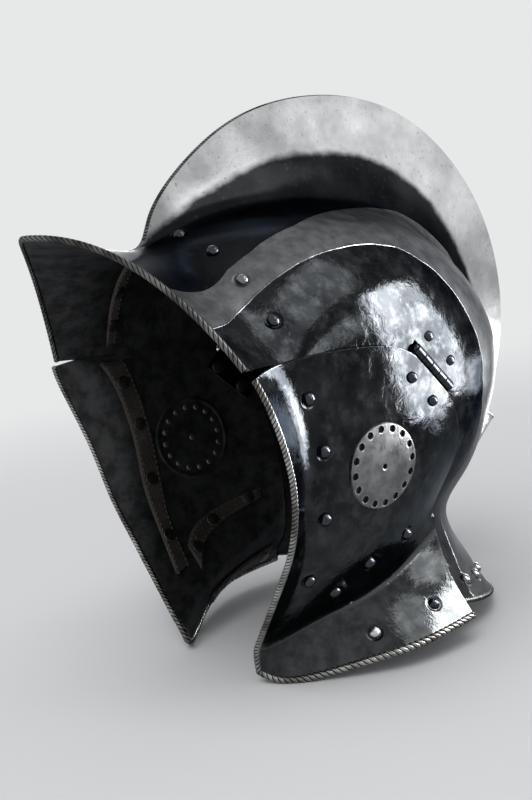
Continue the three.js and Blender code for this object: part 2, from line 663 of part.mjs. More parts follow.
// Beads
const lastSkullRow = skullGrid.length - 1;
const lastCheekRow = cheekGrid.length - 1;
const spotsOf = (count, spot) => Array.from({ length: count }, (_, k) => spot(k));
const skullEdge = (row) => skullGrid[row].map((_, j) => [row, j]).slice(1, -1);
const peakBead = bead(midWall(skullGrid, skullNormals, skullEdge(0)), peakBeadSteps);
const napeBead = bead(midWall(skullGrid, skullNormals, skullEdge(lastSkullRow)), napeBeadSteps);
const crestRows = skullRows.map((station, i) => [station, i])
  .filter(([station]) => station >= crestBeadShares.from && station <= crestBeadShares.to);
const crestBead = bead(midWall(skullGrid, skullNormals,
  crestRows.map(([, i]) => [i, midColumn])), crestBeadSteps);
const cheekBead = bead(midWall(cheekGrid, cheekNormals, [
  ...spotsOf(lastCheekRow, (i) => [i, cheekColumns]),
  ...spotsOf(cheekColumns, (j) => [lastCheekRow, cheekColumns - 1 - j]),
]), cheekBeadSteps);

// Plume holder: a tapered tube on a saddle foot over the comb's tail
const holderFootRows = skullRows.map((station, i) => [station, i])
  .filter(([station]) => station >= holderFootShares.from && station <= holderFootShares.to);
const saddlePart = (grid) => holderFootRows.map(([, i]) =>
  grid[i].slice(midColumn - holderFootShares.columns, midColumn + holderFootShares.columns + 1));
const saddle = plate(saddlePart(skullGrid), seatGap, seatGap + holderFootWall,
  saddlePart(skullNormals));
const holderFoot = placeOf(holderFootCentreShares);
const holderMouth = placeOf(holderMouthCentreShares);
const holderLength = holderFoot.distanceTo(holderMouth);
const holderProfile = [
  [0, 0], [holderFootRadius, 0], [holderMouthRadius, holderLength],
  [holderMouthRadius - holderWall, holderLength], [holderFootRadius - holderWall, holderWall],
  [0, holderWall],
].map(([x, y]) => new THREE.Vector2(x, y));
const holderTube = aim(new THREE.LatheGeometry(holderProfile, knuckleSides).rotateX(Math.PI / 2),
  holderFoot, holderMouth.clone().sub(holderFoot).normalize());
const holderCuts = [];
const crestCuts = [];
const holderHeads = [];
holderRivetShares.forEach(([station, share]) => {
  const { place, axis } = spotOn((row, x) => skullPoint(row, x), station, share * holderFootHalf);
  const { geometry, hole } = rivet([skullBody, saddle], place, axis, holderHeadRadius,
    holderHeadHeight, !share);
  if (share) {
    addPair('holder_rivet', geometry, brightSteel);
    holderCuts.push(hole, mirrored(hole));
  } else {
    holderHeads.push(geometry);
    crestCuts.push(hole);
  }
});
skullHoles.push(...holderCuts, ...crestCuts);
const holder = cut(join(saddle, holderTube, ...holderHeads), holderCuts);
addPiece('plume_holder', holder, brightSteel);

// The helmet stands on the front corners of its cheekpieces and the rim of its nape,
// each filed to a narrow flat: the pitch that brings both to one level is found by halving
const skullEdged = join(skullBody, peakBead, napeBead, crestBead);
const cheekEdged = join(cheekBody, cheekBead, rosetteDisc());
const boxOf = (geometry, turn) => new THREE.Box3().setFromBufferAttribute(
  geometry.clone().applyMatrix4(turn).getAttribute('position'));
const pitched = (angle) => new THREE.Matrix4().makeRotationX(-angle);
let [level, steep] = [0, steepestPitch];
for (let k = 0; k < pitchTrials; k += 1) {
  const middle = (level + steep) / 2;
  const turn = pitched(middle);
  if (boxOf(cheekEdged, turn).min.z < boxOf(skullEdged, turn).min.z) level = middle;
  else steep = middle;
}
const pitch = pitched(level);
const skullBox = boxOf(skullEdged, pitch);
const table = skullBox.min.z + footFlat;
const size = skullBox.expandByVector(skullBox.getSize(new THREE.Vector3())).getSize(new THREE.Vector3());
const under = new THREE.BoxGeometry(size.x, size.y, size.z);
under.translate(0, 0, table - size.z / 2).applyMatrix4(pitch.clone().invert());
const skull = cut(skullEdged, [...skullHoles, under]);
addPiece('skull', skull, blackSteel);
const cheek = cut(cheekEdged, [...cheekHoles, ...rosetteHoleRods, under]);
addPair('cheekpiece', cheek, blackSteel);

const whole = pieces.reduce((box, { geometry }) => box.union(boxOf(geometry, pitch)), new THREE.Box3());
const middle = whole.getCenter(new THREE.Vector3());
const stand = new THREE.Matrix4().makeTranslation(-middle.x, -middle.y, -table).multiply(pitch);

const helmet = new THREE.Group();
pieces.forEach(({ name, geometry, material }) => {
  const mesh = new THREE.Mesh(geometry, material);
  mesh.name = name;
  helmet.add(mesh);
});
helmet.applyMatrix4(stand);
export default helmet;
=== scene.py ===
import json
import math

import bmesh
import bpy
import numpy as np
from mathutils import Matrix, Vector, kdtree
from mathutils.bvhtree import BVHTree

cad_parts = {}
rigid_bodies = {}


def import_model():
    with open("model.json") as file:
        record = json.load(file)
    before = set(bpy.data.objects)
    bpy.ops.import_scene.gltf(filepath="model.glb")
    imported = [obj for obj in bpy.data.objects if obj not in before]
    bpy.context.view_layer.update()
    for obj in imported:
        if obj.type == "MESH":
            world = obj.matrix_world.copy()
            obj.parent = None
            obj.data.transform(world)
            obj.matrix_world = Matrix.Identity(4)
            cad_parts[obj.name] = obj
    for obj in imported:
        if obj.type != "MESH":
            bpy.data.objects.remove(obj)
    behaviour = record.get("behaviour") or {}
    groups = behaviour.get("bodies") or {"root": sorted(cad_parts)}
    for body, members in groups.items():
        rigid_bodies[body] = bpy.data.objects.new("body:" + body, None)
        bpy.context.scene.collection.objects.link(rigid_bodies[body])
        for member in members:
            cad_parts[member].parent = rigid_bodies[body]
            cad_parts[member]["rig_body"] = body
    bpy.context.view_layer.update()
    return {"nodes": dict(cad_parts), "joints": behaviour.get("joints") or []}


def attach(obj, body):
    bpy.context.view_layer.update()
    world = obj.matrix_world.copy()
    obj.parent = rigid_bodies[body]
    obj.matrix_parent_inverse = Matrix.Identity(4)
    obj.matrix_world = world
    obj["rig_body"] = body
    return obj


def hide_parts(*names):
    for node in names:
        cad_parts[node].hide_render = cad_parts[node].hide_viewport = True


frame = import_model()

SHARE = 100.0
MM = 0.001

# Plates, edges and fixings, in millimetres
PLATE_WALL = 1.5
LAP_DEPTH = 5.0
LAP_TUCK = 1.0
COMB_CREST_HALF = 2.5
COMB_SPREAD = 8.4
COMB_REACH = 45.0
LEATHER_WALL = 1.6
LEATHER_GAP = 0.7
LEATHER_PARED = 0.55
HEAD_RADIUS = 3.3
HEAD_HEIGHT = 2.3
HEAD_SKIRT = 0.8
LEAF_HEAD_RADIUS = 3.2
LEAF_HEAD_SKIRT = 1.6
WASHER_RADIUS = 4.2
WASHER_HEIGHT = 0.9
WASHER_SKIRT = 0.3
PIN_RADIUS = 1.2
PIN_HEAD_RADIUS = 2.2
PIN_HEAD_HEIGHT = 1.0
SEAT_GAP = 0.35
KNUCKLE_RADIUS = 3.0
KNUCKLE_COUNT = 5
KNUCKLE_GAP = 0.35
KNUCKLE_EASE = 0.35
LEAF_WALL = 1.3
LEAF_REACH = 15.0
LEAF_EASE = 0.3
LEG_EASE = 0.2
HINGE_RELIEF = 3.7
NOTCH_DEPTH = 12.0
LAP_NOTCH_PAST = 0.9
LAP_NOTCH_BELOW = 4.0
ROSETTE_RADIUS = 21.5
ROSETTE_RISE = 0.9
ROSETTE_DOME = 0.9
ROSETTE_ROLL = 0.9
ROSETTE_ROLL_SHARE = 0.03
ROSETTE_SUNK = 0.6
ROSETTE_SIGHT = 20.0
ROSETTE_RINGS, ROSETTE_SPOKES = 40, 128
ROSETTE_HOLES = 16
ROSETTE_HOLE_RING = 18.6
ROSETTE_HOLE_RADIUS = 1.6
ROSETTE_EYE_RADIUS = 1.2
HOLE_DEPTH = 1.4
HOLE_SLOPE = 0.35
BURR_RADIUS = 2.0
BURR_HEIGHT = 0.6
STITCH_ROWS = (0.12, 0.88)
STITCH_RISE = 0.1
WELD = 0.02
ROPE_GUIDE_STEP = 0.6
CRISP_ANGLE = 40
CRISP_ROUND = 50
CRISP_HINGE = 35

# Skull stations from the peak's edge over the crown to the nape's rim.
# Centre y z, side x y z, fullness towards y and z and its root, crest y z.
SKULL_STATIONS = np.array([
    [-1.45, 1.09, 0.975, -0.855, 0.485, 1.30, 2.45, 1.00, -1.45, 1.09],
    [-1.16, 1.05, 0.947, -0.70, 0.50, 1.45, 2.30, 1.00, -1.16, 1.05],
    [-0.86, 1.06, 0.932, -0.55, 0.52, 1.75, 2.20, 1.15, -0.86, 1.06],
    [-0.60, 1.17, 0.918, -0.38, 0.55, 2.10, 2.15, 1.60, -0.77, 1.25],
    [-0.20, 1.28, 0.905, -0.12, 0.585, 2.20, 2.20, 2.10, -0.525, 1.565],
    [0.20, 1.31, 0.890, 0.10, 0.58, 2.20, 2.20, 2.20, -0.035, 1.87],
    [0.60, 1.27, 0.880, 0.22, 0.55, 2.20, 2.20, 2.20, 0.775, 1.93],
    [0.95, 1.10, 0.865, 0.35, 0.47, 2.20, 2.20, 2.20, 1.45, 1.50],
    [1.20, 0.82, 0.850, 0.46, 0.37, 2.20, 2.20, 2.20, 1.71, 0.90],
    [1.31, 0.50, 0.826, 0.48, 0.22, 2.10, 2.10, 2.10, 1.68, 0.41],
    [1.31, 0.20, 0.772, 0.50, 0.05, 1.90, 1.90, 1.90, 1.535, 0.07],
    [1.28, -0.12, 0.692, 0.51, -0.14, 1.60, 1.60, 1.60, 1.395, -0.15],
    [1.20, -0.40, 0.622, 0.50, -0.34, 1.35, 1.35, 1.35, 1.24, -0.41],
    [1.28, -0.62, 0.652, 0.53, -0.58, 1.60, 1.60, 1.60, 1.30, -0.62],
    [1.307, -0.745, 0.735, 0.54, -0.70, 1.85, 1.85, 1.85, 1.317, -0.745],
    [1.335, -0.825, 0.790, 0.57, -0.765, 2.00, 2.00, 2.00, 1.335, -0.825],
])
LAP_FULL, LAP_END = 2, 9
SKULL_ROWS = [9, 9, 14, 14, 22, 28, 28, 18, 14, 14, 12, 10, 10, 8, 6]
CROWN_SHARE, CROWN_SPREAD, CROWN_COLUMNS = 0.7, 1.35, 34
SIDE_COLUMNS = 42
LAP_THIN = 0.6

# Cheekpiece places: rows from the top seam to the neck crease, then to the flange's edge,
# columns from the front edge to the rear edge
CHEEK_MAIN = np.array([
    [[1.035, -0.845, 0.445], [0.97, -0.68, 0.50], [0.945, -0.42, 0.55],
     [0.932, -0.10, 0.58], [0.91, 0.17, 0.54], [0.87, 0.455, 0.36]],
    [[1.06, -0.77, 0.30], [0.935, -0.57, 0.32], [0.925, -0.35, 0.33],
     [0.92, -0.03, 0.32], [0.90, 0.25, 0.28], [0.83, 0.56, 0.18]],
    [[1.019, -0.628, -0.005], [0.915, -0.46, 0.01], [0.905, -0.26, 0.00],
     [0.895, 0.02, 0.00], [0.865, 0.32, -0.01], [0.75, 0.61, -0.02]],
    [[0.919, -0.548, -0.297], [0.85, -0.41, -0.27], [0.85, -0.21, -0.29],
     [0.835, 0.05, -0.29], [0.775, 0.32, -0.27], [0.67, 0.55, -0.26]],
    [[0.754, -0.496, -0.538], [0.70, -0.36, -0.55], [0.735, -0.20, -0.54],
     [0.745, 0.04, -0.51], [0.715, 0.30, -0.44], [0.66, 0.56, -0.33]],
    [[0.42, -0.415, -0.95], [0.45, -0.32, -0.925], [0.54, -0.12, -0.81],
     [0.605, 0.06, -0.73], [0.645, 0.30, -0.61], [0.66, 0.57, -0.40]],
])
CHEEK_FLANGE = np.array([
    CHEEK_MAIN[5].tolist(),
    [[0.38, -0.385, -1.03], [0.45, -0.30, -1.015], [0.56, -0.13, -0.94],
     [0.66, 0.04, -0.86], [0.73, 0.28, -0.755], [0.74, 0.60, -0.62]],
    [[0.363, -0.365, -1.085], [0.47, -0.275, -1.115], [0.62, -0.125, -1.065],
     [0.77, 0.05, -0.985], [0.885, 0.29, -0.905], [0.89, 0.63, -0.82]],
])
CREASE = 5
HEM = 7
CHEEK_MAIN_ROWS = 92
CHEEK_FLANGE_ROWS = 34
CHEEK_COLUMNS = 96
CREASE_ROUND = 0.35
SEAM_LESS = 1.4

HINGE_FRONT = np.array([0.892, 0.20, 0.57]) * SHARE
HINGE_REAR = np.array([0.852, 0.47, 0.37]) * SHARE

# Rivets and linings, as places on the plates
BROW_RIVETS = [0.16, 0.46, 0.69, 0.88]
BROW_BAND = {"middle": 2.72, "fall": 0.65, "half": 0.20, "reach": 0.96}
NAPE_RIVETS = [0.59, 0.79, 0.92]
NAPE_BAND = {"middle": 13.8, "fall": 0.0, "half": 0.30, "reach": 0.98}
CHEEK_RIVETS = [[0.94, 1.52], [1.73, 1.60], [2.84, 1.50], [4.05, 1.42],
                [4.47, 2.29], [3.98, 3.01], [3.65, 3.97], [6.30, 3.30], [6.38, 4.50]]
# Path, half breadth, whether the breadth crosses rows, and the sign of the outward normals
CHEEK_LININGS = {
    "front": ([[0.35, 1.50], [1.8, 1.60], [3.0, 1.50], [4.6, 1.40]], 0.32, False, -1),
    "diagonal": ([[4.6, 2.0], [3.98, 3.01], [3.6, 4.3]], 0.24, True, 1),
    "flange": ([[6.2, 2.4], [6.3, 3.3], [6.4, 4.65]], 0.30, True, 1),
}
SKULL_STRIP_POINTS = (150, 17)
CHEEK_STRIP_POINTS = (60, 15)
ROSETTE_PLACE = (2.0, 2.92)
LOWER_LEAF_RIVETS = [0.16, 0.76]
UPPER_LEAF_RIVETS = [0.17, 0.78]
UPPER_LEAF_DROP = 11.0
LOWER_LEAF_DROP = 13.8

# Ropes of the borders: radius and length of a turn at shares of the way, and how they are cut
CREST_ROPE = (2.3, 9.6)
SKULL_ROPES = {
    "peak": {"radii": [[0, 1.7], [0.5, 1.45], [1, 1.7]], "lays": [[0, 13.0], [1, 13.0]],
             "starts": 4, "depth": 0.14, "step": 0.5},
    "nape": {"radii": [[0, 1.5], [1, 1.5]], "lays": [[0, 3.0], [1, 3.0]],
             "starts": 2, "depth": 0.2, "step": 0.25},
    "crest": {"radii": [[0, 1.6], [0.5, 1.45], [1, 1.4]], "lays": [[0, 3.6], [1, 3.6]],
              "starts": 2, "depth": 0.2, "step": 0.3},
}
CHEEK_ROPE_RADII = [1.5, 1.65, 2.1, 2.0]
CHEEK_ROPE_LAYS = [6.4, 6.9, 9.6, 9.6]

# Plume holder
HOLDER_STATIONS = (10.95, 12.0)
HOLDER_FOOT_HALF = 12.5
HOLDER_FOOT = np.array([0, 1.318, -0.287]) * SHARE
HOLDER_MOUTH = np.array([0, 1.617, 0.135]) * SHARE
HOLDER_WALL = 1.2
HOLDER_SUNK = 0.3
HOLDER_SPOKES = 48
HOLDER_RIVET = (11.5, 8.8)
# Radius and height up the axis; then the flare's first radius, gain, bend and count, and the
# height that its ends leave free; then radius and depth below the mouth
HOLDER_NECK = [(0.02, 0.0), (2.2, 0.0), (2.7, 0.5)]
HOLDER_FLARE = (2.8, 2.9, 1.15, 12)
HOLDER_ENDS = 2.4
HOLDER_LIP = [(6.1, 0.9), (6.2, 0.4), (5.9, 0.0), (5.3, 0.1), (5.0, 1.0)]
HOLDER_BORE = [(2.0, 6.0), (0.02, 5.0)]

# Corners of the six faces of a box
BOX_FACES = ((0, 1, 3, 2), (4, 6, 7, 5), (0, 4, 5, 1), (2, 3, 7, 6), (0, 2, 6, 4), (1, 5, 7, 3))

# Edges of the skull's finishes, as station and distance from the crest in millimetres
COMB_LINE = [[2.0, 0.5], [2.35, 1.5], [3.05, 5.5], [3.85, 5.6], [4.65, 5.5], [7.65, 6.0],
             [9.0, 5.5], [10.2, 4.0], [11.0, 0.5]]
BAND_TOP = [[0.0, 67.5], [0.55, 66.0], [1.2, 63.0], [2.35, 56.5], [3.0, 56.0], [3.85, 50.0],
            [4.8, 34.0], [5.6, 22.0], [6.25, 14.0], [6.7, 11.5], [7.25, 9.0], [8.5, 7.0],
            [10.2, 4.0], [11.0, 0.0], [15.0, 0.0]]
BAND_FOOT = [[0.0, 85.0], [0.74, 80.3], [1.06, 78.0], [1.47, 74.9], [1.83, 73.0],
             [2.25, 71.9], [3.07, 72.1], [3.73, 71.3], [4.13, 70.7], [4.75, 68.6],
             [5.25, 68.6], [5.75, 73.0], [6.35, 76.0], [7.3, 79.0], [7.95, 80.0],
             [8.65, 79.0], [9.2, 76.0], [10.45, 64.0], [11.1, 61.0], [11.75, 52.5],
             [12.1, 48.5], [12.44, 48.5], [12.83, 53.9], [13.23, 59.8], [13.82, 67.3],
             [14.53, 73.7], [15.0, 76.1]]


def smooth_reader(rows):
    """Reads a table of rows at whole or part rows, along one smooth spline."""
    rows = np.asarray(rows, float)
    count = len(rows)
    sums = np.zeros((count, count))
    bends = np.zeros_like(rows)
    sums[0, 0] = sums[-1, -1] = 1
    for i in range(1, count - 1):
        sums[i, i - 1:i + 2] = (1, 4, 1)
        bends[i] = 6 * (rows[i - 1] - 2 * rows[i] + rows[i + 1])
    curve = np.linalg.solve(sums, bends.reshape(count, -1)).reshape(rows.shape)

    def read(at):
        at = np.asarray(at, float)
        row = np.clip(at.astype(int), 0, count - 2)
        t = (at - row).reshape(at.shape + (1,) * (rows.ndim - 1))
        return ((1 - t) * rows[row] + t * rows[row + 1]
                + ((1 - t) ** 3 - (1 - t)) * curve[row] / 6 + (t ** 3 - t) * curve[row + 1] / 6)
    return read


# The stand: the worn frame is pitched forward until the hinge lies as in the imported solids
left_hinge = next(joint for joint in frame["joints"] if joint["name"].startswith("left"))
HINGE_MIDDLE = (HINGE_FRONT + HINGE_REAR) / 2
HINGE_LENGTH = float(np.linalg.norm(HINGE_FRONT - HINGE_REAR))
HINGE_ALONG = (HINGE_FRONT - HINGE_REAR) / HINGE_LENGTH
packed_axis = np.array(left_hinge["axis"], float)
lean = (math.atan2(packed_axis[2], packed_axis[1])
        - math.atan2(HINGE_ALONG[2], HINGE_ALONG[1]))
STAND = np.array(Matrix.Rotation(lean, 3, "X"))
STAND_SHIFT = np.array(left_hinge["pos_m"], float) - STAND @ HINGE_MIDDLE * MM


def stood(points):
    """Worn-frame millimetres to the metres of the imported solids."""
    return np.asarray(points, float) @ STAND.T * MM + STAND_SHIFT


def stood_direction(directions):
    return np.asarray(directions, float) @ STAND.T


# Surfaces

read_station = smooth_reader(SKULL_STATIONS)
read_cheek_main = smooth_reader(CHEEK_MAIN)
read_cheek_flange = smooth_reader(CHEEK_FLANGE)


def comb_share(x):
    def fall(distance):
        return (1 + np.maximum(distance - COMB_CREST_HALF, 0) / COMB_SPREAD) ** -2.0
    end = fall(COMB_REACH)
    return np.maximum(0, (fall(x) - end) / (1 - end))


def skull_half(station):
    return read_station(station)[..., 2] * SHARE


def skull_place(station, x, combed=True):
    """Outer face of the skull at a station and a signed distance from the crest."""
    row = read_station(station)
    yc, zc, xs, ys, zs, to_y, to_z, root, yk, zk = np.moveaxis(row, -1, 0)
    side = np.minimum(np.abs(x) / (xs * SHARE), 1)
    in_y = (1 - side ** to_y) ** (1 / root)
    in_z = (1 - side ** to_z) ** (1 / root)
    rise = comb_share(np.abs(x)) if combed else 0
    return SHARE * np.stack([
        np.sign(x) * side * xs,
        ys + (yc - ys) * in_y + (yk - yc) * rise,
        zs + (zc - zs) * in_z + (zk - zc) * rise,
    ], -1)


def skull_lap(station, sign, share):
    """The margin that slips under a cheekpiece, from the seam at 0 to its edge at 1."""
    row = read_station(station)
    edge = SHARE * row[..., 2:5] * np.array([sign, 1, 1])
    centre = SHARE * np.stack([sign * row[..., 2], row[..., 0], row[..., 1]], -1)
    down = edge - centre
    down /= np.linalg.norm(down, axis=-1, keepdims=True)
    full = np.clip(np.minimum(station / LAP_FULL, LAP_END - station), 0, 1) * share
    edge[..., 0] -= sign * LAP_TUCK * full
    return edge + down * (LAP_DEPTH * full)[..., None]


def cheek_place(row, column):
    """Outer face of the left cheekpiece at rows and columns of its tables."""
    row, column = np.broadcast_arrays(np.asarray(row, float), np.asarray(column, float))
    shape = row.shape
    places = []
    for r, c in zip(row.ravel(), column.ravel()):
        rows = read_cheek_main(r) if r <= CREASE else read_cheek_flange(r - CREASE)
        places.append(smooth_reader(rows)(c))
    return SHARE * np.array(places).reshape(shape + (3,))


def grid_normals(grid):
    down = np.gradient(grid, axis=0)
    over = np.gradient(grid, axis=1)
    normal = np.cross(over, down)
    length = np.linalg.norm(normal, axis=-1, keepdims=True)
    return normal / np.maximum(length, 1e-9)


def spot_on(face, first, second, turned=False, step=0.01):
    place = face(first, second)
    down = face(first + step, second) - place
    over = face(first, second + step) - place
    axis = np.cross(over, down)
    axis /= np.linalg.norm(axis)
    return place, -axis if turned else axis


def skull_share_place(station, share, combed=True):
    return skull_place(station, share * skull_half(station), combed)


# Meshes

def added(name, data):
    """An object that holds the data, in the scene."""
    thing = bpy.data.objects.new(name, data)
    bpy.context.scene.collection.objects.link(thing)
    return thing


def evaluated(thing):
    """A plain mesh of an object after its modifiers."""
    graph = bpy.context.evaluated_depsgraph_get()
    return bpy.data.meshes.new_from_object(thing.evaluated_get(graph), depsgraph=graph)


def store(mesh, marks):
    for mark, values in marks.items():
        kept = mesh.attributes.get(mark) or mesh.attributes.new(mark, "FLOAT", "POINT")
        kept.data.foreach_set("value", np.asarray(values, np.float32).ravel())


def shade(mesh, crisp=CRISP_ANGLE):
    """Smooth faces, parted where they meet at more than an angle in degrees."""
    mesh.polygons.foreach_set("use_smooth", [True] * len(mesh.polygons))
    mesh.set_sharp_from_angle(angle=math.radians(crisp))


def mesh_piece(name, points, faces, finish=None, marks=None, crisp=CRISP_ANGLE):
    """A piece from worn-frame points, with faces turned outwards and its marks stored."""
    points = stood(np.reshape(points, (-1, 3)))
    mesh = bpy.data.meshes.new(name)
    mesh.from_pydata(points.tolist(), [], faces)
    mesh.update()
    mesh.calc_loop_triangles()
    corners = np.empty(len(mesh.loop_triangles) * 3, int)
    mesh.loop_triangles.foreach_get("vertices", corners)
    a, b, c = points[corners.reshape(-1, 3)].transpose(1, 0, 2)
    if np.einsum("ij,ij->", a, np.cross(b, c)) < 0:
        mesh.flip_normals()
    store(mesh, marks or {})
    if finish:
        mesh.materials.append(FINISHES[finish])
    shade(mesh, crisp)
    return added(name, mesh)


def plate_faces(rows, columns):
    """Faces of a closed plate whose outer grid of points comes before its inner one."""
    at = np.arange(rows * columns).reshape(rows, columns)
    under = at + at.size
    quads = [np.stack([at[:-1, :-1], at[:-1, 1:], at[1:, 1:], at[1:, :-1]], -1),
             np.stack([under[:-1, :-1], under[1:, :-1], under[1:, 1:], under[:-1, 1:]], -1)]
    for line, turn in ((at[0], 1), (at[-1], -1), (at[:, 0], -1), (at[:, -1], 1)):
        low = line + at.size
        quads.append(np.stack([line[:-1], low[:-1], low[1:], line[1:]], -1)[:, ::turn])
    return np.concatenate([quad.reshape(-1, 4) for quad in quads]).tolist()


def ring_faces(points, spokes, first=0, foot=True):
    """Faces between rings of points laid one after another, with flat ends."""
    faces = [[a + k, a + (k + 1) % spokes, a + spokes + (k + 1) % spokes, a + spokes + k]
             for a in range(first, len(points) - spokes, spokes) for k in range(spokes)]
    if foot:
        faces.append(list(range(first, first + spokes))[::-1])
    faces.append(list(range(len(points) - spokes, len(points))))
    return faces


def circle(spokes):
    """Angles round a full turn."""
    return 2 * math.pi * np.arange(spokes) / spokes


def mirrored(piece, name):
    """The same piece for the wearer's right."""
    mesh = piece.data.copy()
    mesh.transform(Matrix.Scale(-1, 4, (1, 0, 0)))
    mesh.flip_normals()
    mesh.name = name
    return added(name, mesh)


def tree_of(places):
    tree = kdtree.KDTree(len(places))
    for k, place in enumerate(places):
        tree.insert(Vector(place), k)
    tree.balance()
    return tree


def nearest(points, places):
    """Distance of each point from the nearest of some places."""
    tree = tree_of(places)
    return np.array([tree.find(Vector(point))[2] for point in points])


def line_shares(line):
    """The lengths of a line's spans, and the way along it at each of its places."""
    spans = np.linalg.norm(np.diff(line, axis=0), axis=1)
    return spans, np.concatenate([[0], np.cumsum(spans)])


def dense(line, step=0.4):
    """A line of places drawn close together."""
    along = line_shares(line)[1]
    at = np.linspace(0, along[-1], int(along[-1] / step) + 2)
    return np.stack([np.interp(at, along, column) for column in np.transpose(line)], -1)


def cut_away(piece, cutters, marks):
    """Cuts boxes out of a plate and welds it; new points take the marks of their neighbours."""
    tree = tree_of([vertex.co for vertex in piece.data.vertices])
    for cutter in cutters:
        cut = piece.modifiers.new("cut", "BOOLEAN")
        cut.operation, cut.solver, cut.object = "DIFFERENCE", "EXACT", cutter
    piece.data = mesh = evaluated(piece)
    piece.modifiers.clear()
    near = [tree.find(vertex.co)[1] for vertex in mesh.vertices]
    store(mesh, {mark: values[near] for mark, values in marks.items()})
    for cutter in cutters:
        bpy.data.objects.remove(cutter)
    weld = bmesh.new()
    weld.from_mesh(mesh)
    bmesh.ops.remove_doubles(weld, verts=weld.verts, dist=WELD * MM)
    bmesh.ops.dissolve_degenerate(weld, edges=weld.edges, dist=WELD / 4 * MM)
    weld.to_mesh(mesh)
    weld.free()
    shade(mesh)
    return piece


def plate_piece(name, grid, normals, finish, marks, cutters):
    """A plate under a grid of places, with its marks on both faces and its notches cut."""
    marks = {mark: np.tile(values, 2) for mark, values in marks.items()}
    marks["inside"] = np.repeat([0.0, 1.0], grid.size // 3)
    piece = mesh_piece(name, [grid, grid - PLATE_WALL * normals], plate_faces(*grid.shape[:2]),
                       finish, marks)
    return level_feet(cut_away(piece, cutters, marks))


def level_feet(piece):
    """The filed flats that the helmet stands on: nothing reaches below the table."""
    for vertex in piece.data.vertices:
        vertex.co.z = max(vertex.co.z, 0.0)
    return piece


# Nodes: one class wraps a socket so that sums read as Python, one adds every node

def maths(operation, turned=False):
    def work(self, *others):
        values = (*others, self) if turned else (self, *others)
        return self.nodes.add("ShaderNodeMath", {"operation": operation}, dict(enumerate(values)))
    return work


class Number:
    """One number running through a tree of nodes; sums on it add Math nodes."""

    def __init__(self, nodes, socket):
        self.nodes, self.socket = nodes, socket

    def beside(self, name):
        """Another output of the same node."""
        return Number(self.nodes, self.socket.node.outputs[name])

    __add__ = __radd__ = maths("ADD")
    __sub__, __rsub__ = maths("SUBTRACT"), maths("SUBTRACT", turned=True)
    __mul__ = __rmul__ = maths("MULTIPLY")
    __truediv__, __rtruediv__ = maths("DIVIDE"), maths("DIVIDE", turned=True)
    __pow__, __abs__ = maths("POWER"), maths("ABSOLUTE")
    cos, sin = maths("COSINE"), maths("SINE")
    most, least = maths("MAXIMUM"), maths("MINIMUM")


class Nodes:
    """A tree of nodes, with one method that adds a node, sets it and joins its sockets."""

    FAMILY = "ShaderNode"

    def __init__(self, tree):
        self.tree = tree
        tree.nodes.clear()

    def add(self, kind, settings=None, values=None, out=0):
        node = self.tree.nodes.new(kind if "Node" in kind else self.FAMILY + kind)
        for key, value in (settings or {}).items():
            setattr(node, key, value)
        for key, value in (values or {}).items():
            socket = node.inputs[key] if isinstance(key, int) else next(
                s for s in node.inputs if s.name == key and s.enabled)
            if isinstance(value, Number):
                self.tree.links.new(value.socket, socket)
            else:
                socket.default_value = value
        shown = [s for s in node.outputs if s.enabled]
        if isinstance(out, str):
            shown = [s for s in shown if s.name == out]
        return Number(self, shown[0]) if shown else None


class Finish(Nodes):
    """A procedural finish for one kind of surface."""

    def __init__(self, name, **constants):
        self.material = bpy.data.materials.new(name)
        self.material.use_nodes = True
        super().__init__(self.material.node_tree)
        self.shader = self.add("BsdfPrincipled", values={
            key.replace("_", " "): value for key, value in constants.items()})
        self.place = self.add("TexCoord", out="Object")

    def dress(self, surface=None, **varying):
        """Joins what varies to the shader, and the shader or a mix with it to the surface."""
        for name, value in varying.items():
            self.tree.links.new(
                value.socket, self.shader.socket.node.inputs[name.replace("_", " ")])
        self.add("OutputMaterial", values={"Surface": surface or self.shader})
        return self.material

    def mark(self, name):
        return self.add("Attribute", {"attribute_name": name}, out="Fac")

    def along(self, axis):
        return self.add("SeparateXYZ", values={"Vector": self.place}, out=axis)

    def noise(self, scale, detail=3, roughness=0.6, place=None, distortion=0.0):
        return self.add("TexNoise", values={
            "Vector": place or self.place, "Scale": scale, "Detail": detail,
            "Roughness": roughness, "Distortion": distortion}, out="Fac")

    def strokes(self, scale, turn, detail=3, roughness=0.6):
        """Noise drawn out in one direction."""
        return self.noise(1.0, detail, roughness, self.add("Mapping", values={
            "Vector": self.place, "Rotation": turn, "Scale": scale}))

    def soft(self, value, low, high, to_low=0.0, to_high=1.0):
        return self.add("MapRange", {"interpolation_type": "SMOOTHSTEP"}, {
            "Value": value, "From Min": low, "From Max": high,
            "To Min": to_low, "To Max": to_high})

    def blend(self, share, below, above):
        below, above = (c if isinstance(c, Number) else (*c, 1) for c in (below, above))
        return self.add("Mix", {"data_type": "RGBA"}, {"Factor": share, "A": below, "B": above})

    def clouds(self, value, low, high, dark, pale):
        return self.blend(self.soft(value, low, high), dark, pale)

    def pick(self, share, below, above):
        return self.add("Mix", {"data_type": "FLOAT"}, {"Factor": share, "A": below, "B": above})

    def relief(self, height, depth, under=None):
        """Bump from a height of 0 to 1 over a depth in millimetres."""
        below = {"Normal": under} if under else {}
        return self.add("Bump", values={
            "Height": height, "Distance": depth * MM, "Strength": 1.0, **below})


